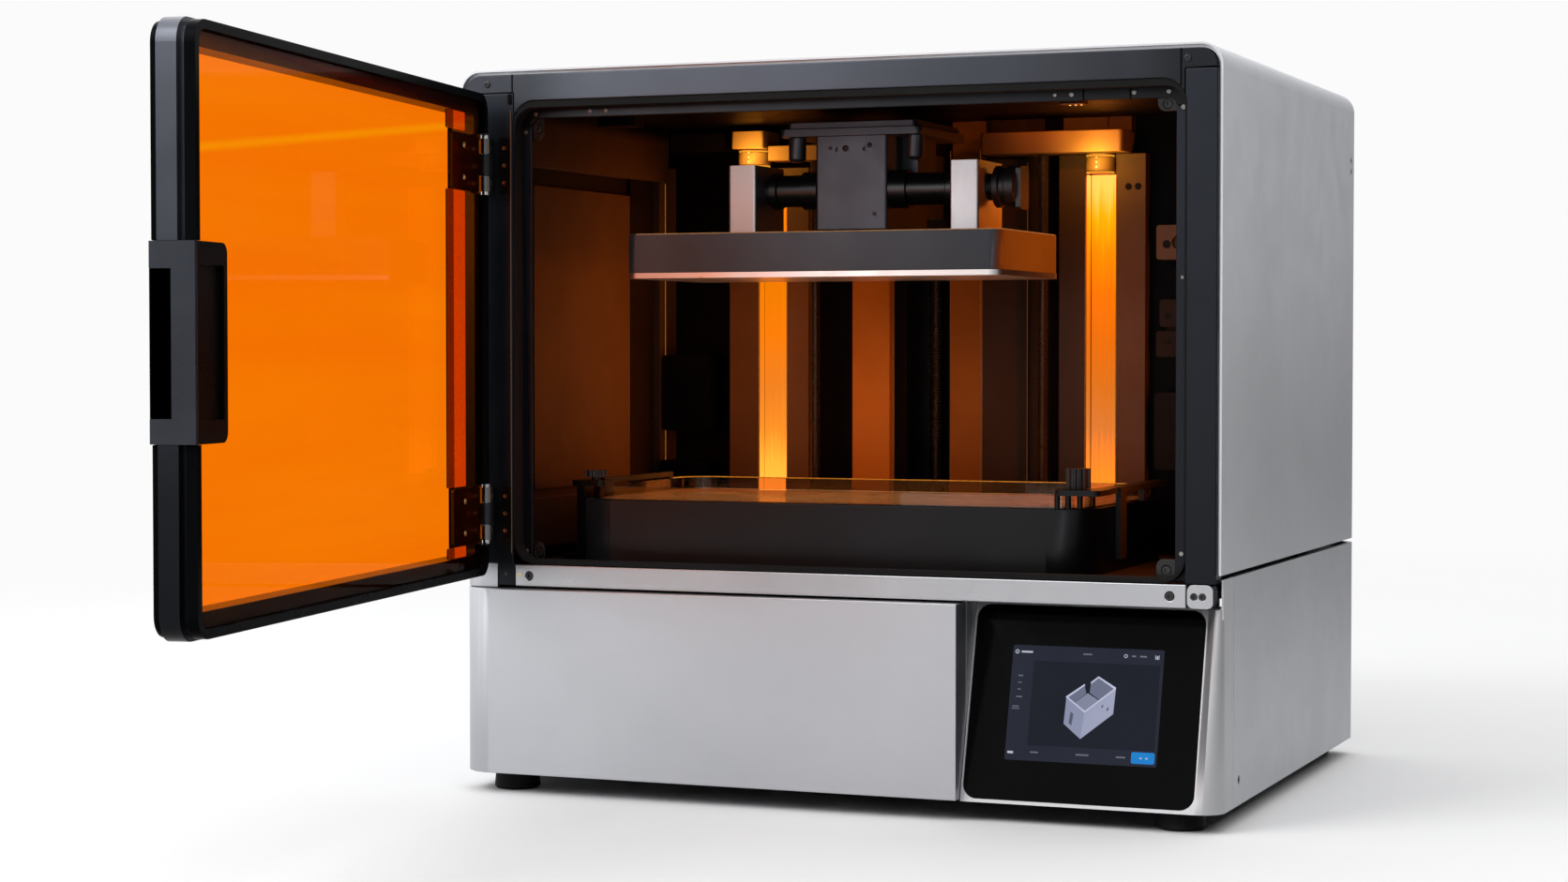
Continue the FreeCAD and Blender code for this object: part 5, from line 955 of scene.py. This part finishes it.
# World: a white room to look at; as a reflection it is dimmer on the right, so that the flank falls off.
world = bpy.data.worlds.new("studio")
scene.world = world
world.use_nodes = True
wn = world.node_tree
wn.nodes.clear()
wo = wn.nodes.new("ShaderNodeOutputWorld")
bg = wn.nodes.new("ShaderNodeBackground")
wn.links.new(bg.outputs[0], wo.inputs[0])
tc = wn.nodes.new("ShaderNodeTexCoord")
sp = wn.nodes.new("ShaderNodeSeparateXYZ")
wn.links.new(tc.outputs["Generated"], sp.inputs[0])
rg = wn.nodes.new("ShaderNodeValToRGB")
rg.color_ramp.interpolation = "EASE"
for k, (at, val) in enumerate(((-0.70, 1.50), (-0.46, 1.22), (-0.30, 0.98), (0.0, 0.90), (0.22, 0.84), (0.42, 0.62), (0.80, 0.42))):
    el = rg.color_ramp.elements[k] if k < 2 else rg.color_ramp.elements.new((at + 1) / 2)
    el.position, el.color = (at + 1) / 2, (val, val, val, 1)
wn.links.new(math_node(wn, "MULTIPLY_ADD", sp.outputs["X"], 0.5), rg.inputs[0])
rg.inputs[0].links[0].from_node.inputs[2].default_value = 0.5
lp = wn.nodes.new("ShaderNodeLightPath")
seen = math_node(wn, "MAXIMUM", lp.outputs["Is Camera Ray"], lp.outputs["Is Transmission Ray"])
pick = wn.nodes.new("ShaderNodeMix"); pick.data_type = "FLOAT"
wn.links.new(seen, pick.inputs[0]); wn.links.new(rg.outputs["Color"], pick.inputs[2]); pick.inputs[3].default_value = 0.964
soft = wn.nodes.new("ShaderNodeMix"); soft.data_type = "FLOAT"
wn.links.new(lp.outputs["Is Diffuse Ray"], soft.inputs[0]); wn.links.new(pick.outputs[0], soft.inputs[2]); soft.inputs[3].default_value = 0.03
wn.links.new(soft.outputs[0], bg.inputs["Strength"])
bg.inputs["Color"].default_value = (1.0, 1.0, 1.0, 1)
world.cycles.sampling_method = "NONE"

# The studio lamps light the outside; the chamber has its own amber light.
OUTSIDE = ["base_pan", "base_shell", "front_cover", "screen_surround", "screen_bezel", "display_panel", "feet", "foot_screws", "sill_rail", "sill_end_cap",
           "upper_shell", "rear_panel", "case_screws", "frame_top_rail", "frame_left_stile", "frame_right_stile", "opening_seal", "door_frame", "door_cover",
           "door_ring", "door_handle", "hinge_leaves_door", "hinge_leaves_frame", "hinge_pins", "power_inlet", "power_switch", "fan_rotor"]
outer = bpy.data.collections.new("studio_lit")
for n in OUTSIDE:
    outer.objects.link(N[n])
outer.objects.link(floor)
N["door_panel"].visible_diffuse = False
N["door_panel"].visible_shadow = False
for o in list(scene.collection.objects):
    if o.name not in N and o.name.startswith(("frame_corner", "outer_", "screen_")):
        outer.objects.link(o)
INSIDE_ALSO = ["opening_seal", "hinge_leaves_frame", "hinge_pins"]
inner = bpy.data.collections.new("chamber_lit")
for n, o in N.items():
    if (n not in OUTSIDE or n in INSIDE_ALSO) and n not in ("plinth", "platform_body", "door_panel"):
        inner.objects.link(o)
for o in list(scene.collection.objects):
    if o.type == "MESH" and o is not floor and o.name not in N and not o.name.startswith(("frame_corner", "outer_", "screen_")):
        inner.objects.link(o)
bench = bpy.data.collections.new("platform_lit")
for n in ("platform_body", "build_surface", "platform_posts", "arm_block", "arm_top_plate", "trunnions", "level_knob", "plinth", "clamp_knob_left", "clamp_knob_right"):
    bench.objects.link(N[n])
door_set = bpy.data.collections.new("door_lit")
for n in ("door_cover", "door_frame", "door_handle", "door_ring"):
    door_set.objects.link(N[n])
rail_set = bpy.data.collections.new("rail_lit")
rail_set.objects.link(N["frame_top_rail"])
corner_set = bpy.data.collections.new("corner_lit")
for n in ("plinth", "tank_tray", "platform_body"):
    corner_set.objects.link(N[n])
rear_set = bpy.data.collections.new("rear_lit")
for n in ("light_columns", "chamber_rear_wall", "lamp_brackets", "service_blocks", "tank_tray", "arm_block", "arm_top_plate", "trunnions", "z_carriage", "z_tower"):
    rear_set.objects.link(N[n])
for n in ("tie_rods_threaded", "lead_screw_threaded", "column_plugs"):
    rear_set.objects.link(bpy.data.objects[n])
post_set = bpy.data.collections.new("post_lit")
post_set.objects.link(N["platform_posts"])
service_set = bpy.data.collections.new("service_lit")
service_set.objects.link(N["service_blocks"])
kick_set = bpy.data.collections.new("kick_lit")
kick_set.objects.link(N["platform_body"])
film_set = bpy.data.collections.new("film_lit")
film_set.objects.link(N["tank_film"])
AMBER_LIGHT = (1.0, 0.155, 0.003)


def area(name, loc, target, size, size_y, watts, colour=(1, 1, 1), glossy=True, on=None):
    li = bpy.data.lights.new(name, "AREA")
    li.shape = "RECTANGLE"
    li.size, li.size_y = size, size_y
    li.energy = watts
    li.color = colour
    o = bpy.data.objects.new(name, li)
    scene.collection.objects.link(o)
    o.location = loc
    o.rotation_mode = "QUATERNION"
    o.rotation_quaternion = (Vector(target) - Vector(loc)).to_track_quat("-Z", "Y")
    o.visible_camera = False
    o.visible_glossy = glossy
    o.visible_transmission = glossy
    if on:
        o.light_linking.receiver_collection = on
    return o


area("key", (-1.6, -2.4, 2.2), (0, -0.1, 0.2), 1.8, 1.8, 47, on=outer)
area("top", (0.0, 0.0, 6.0), (0, 0, 0.0), 16.0, 16.0, 1068, on=outer)
area("door_soft", (-0.53, -1.85, 0.95), (-0.20, -0.69, 0.42), 0.8, 0.5, 3.0, on=door_set)
area("rail_soft", (-0.80, -1.45, 0.80), (-0.10, -0.20, 0.47), 0.6, 0.4, 2.5, on=rail_set)
area("bench_soft", (-0.165, -0.50, 0.42), (-0.03, -0.10, 0.38), 0.16, 0.16, 0.22, (0.95, 0.97, 1.0), on=bench)
area("corner_soft", (0.42, -0.95, 0.28), (0.10, -0.12, 0.22), 0.06, 0.60, 0.8, (0.95, 0.97, 1.0), on=corner_set)
area("strip_light_left", (-0.144, 0.056, 0.29), (-0.144, -1.0, 0.29), 0.02, 0.24, 0.5, AMBER_LIGHT, False, inner)
area("strip_light_right", (0.107, 0.056, 0.29), (0.107, -1.0, 0.29), 0.02, 0.24, 0.5, AMBER_LIGHT, False, inner)
area("chamber_wash", (0.238, -0.105, 0.270), (-0.5, -0.330, 0.33), 0.07, 0.14, 1.25, AMBER_LIGHT, False, inner)
area("chamber_wash_left", (-0.222, -0.100, 0.290), (0.10, 0.10, 0.29), 0.10, 0.14, 0.7, AMBER_LIGHT, False, rear_set)
area("platform_kick", (0.236, -0.085, 0.358), (0.0, -0.085, 0.358), 0.10, 0.04, 3.6, AMBER_LIGHT, False, kick_set)
area("platform_rim", (-0.030, -0.146, 0.456), (-0.030, -0.146, 0.0), 0.27, 0.012, 0.30, (1.0, 0.45, 0.10), False, kick_set)
area("post_glow", (-0.215, -0.190, 0.400), (-0.102, -0.095, 0.398), 0.04, 0.04, 0.20, (1.0, 0.50, 0.34), False, post_set)
area("film_glow", (-0.030, -0.085, 0.330), (-0.030, -0.085, 0.0), 0.20, 0.10, 0.27, (1.0, 0.74, 0.36), False, film_set)
area("lamp_glow_right", (0.107, 0.022, 0.4265), (0.107, 0.060, 0.440), 0.016, 0.008, 0.042, (1.0, 0.38, 0.03), False, inner)
area("lamp_glow_left", (-0.150, 0.020, 0.4350), (-0.135, 0.060, 0.445), 0.016, 0.008, 0.045, (1.0, 0.36, 0.03), False, inner)
area("service_glow", (0.165, -0.060, 0.400), (0.160, 0.052, 0.340), 0.02, 0.02, 0.035, (1.0, 0.62, 0.40), False, service_set)
area("upper_glow", (0.080, 0.000, 0.4545), (0.080, 0.066, 0.4560), 0.09, 0.004, 0.06, AMBER_LIGHT, False, rear_set)

# ------------------------------------------------------------------------ camera
cd = bpy.data.cameras.new("camera")
cd.sensor_width = 36.0
cd.lens = 67.58
cd.clip_start, cd.clip_end = 0.05, 60.0
cam = bpy.data.objects.new("camera", cd)
scene.collection.objects.link(cam)
cam.location = (0.68793, -1.95380, 0.29404)
cam.rotation_euler = (math.radians(88.2763), 0.0, math.radians(22.2119))
scene.camera = cam
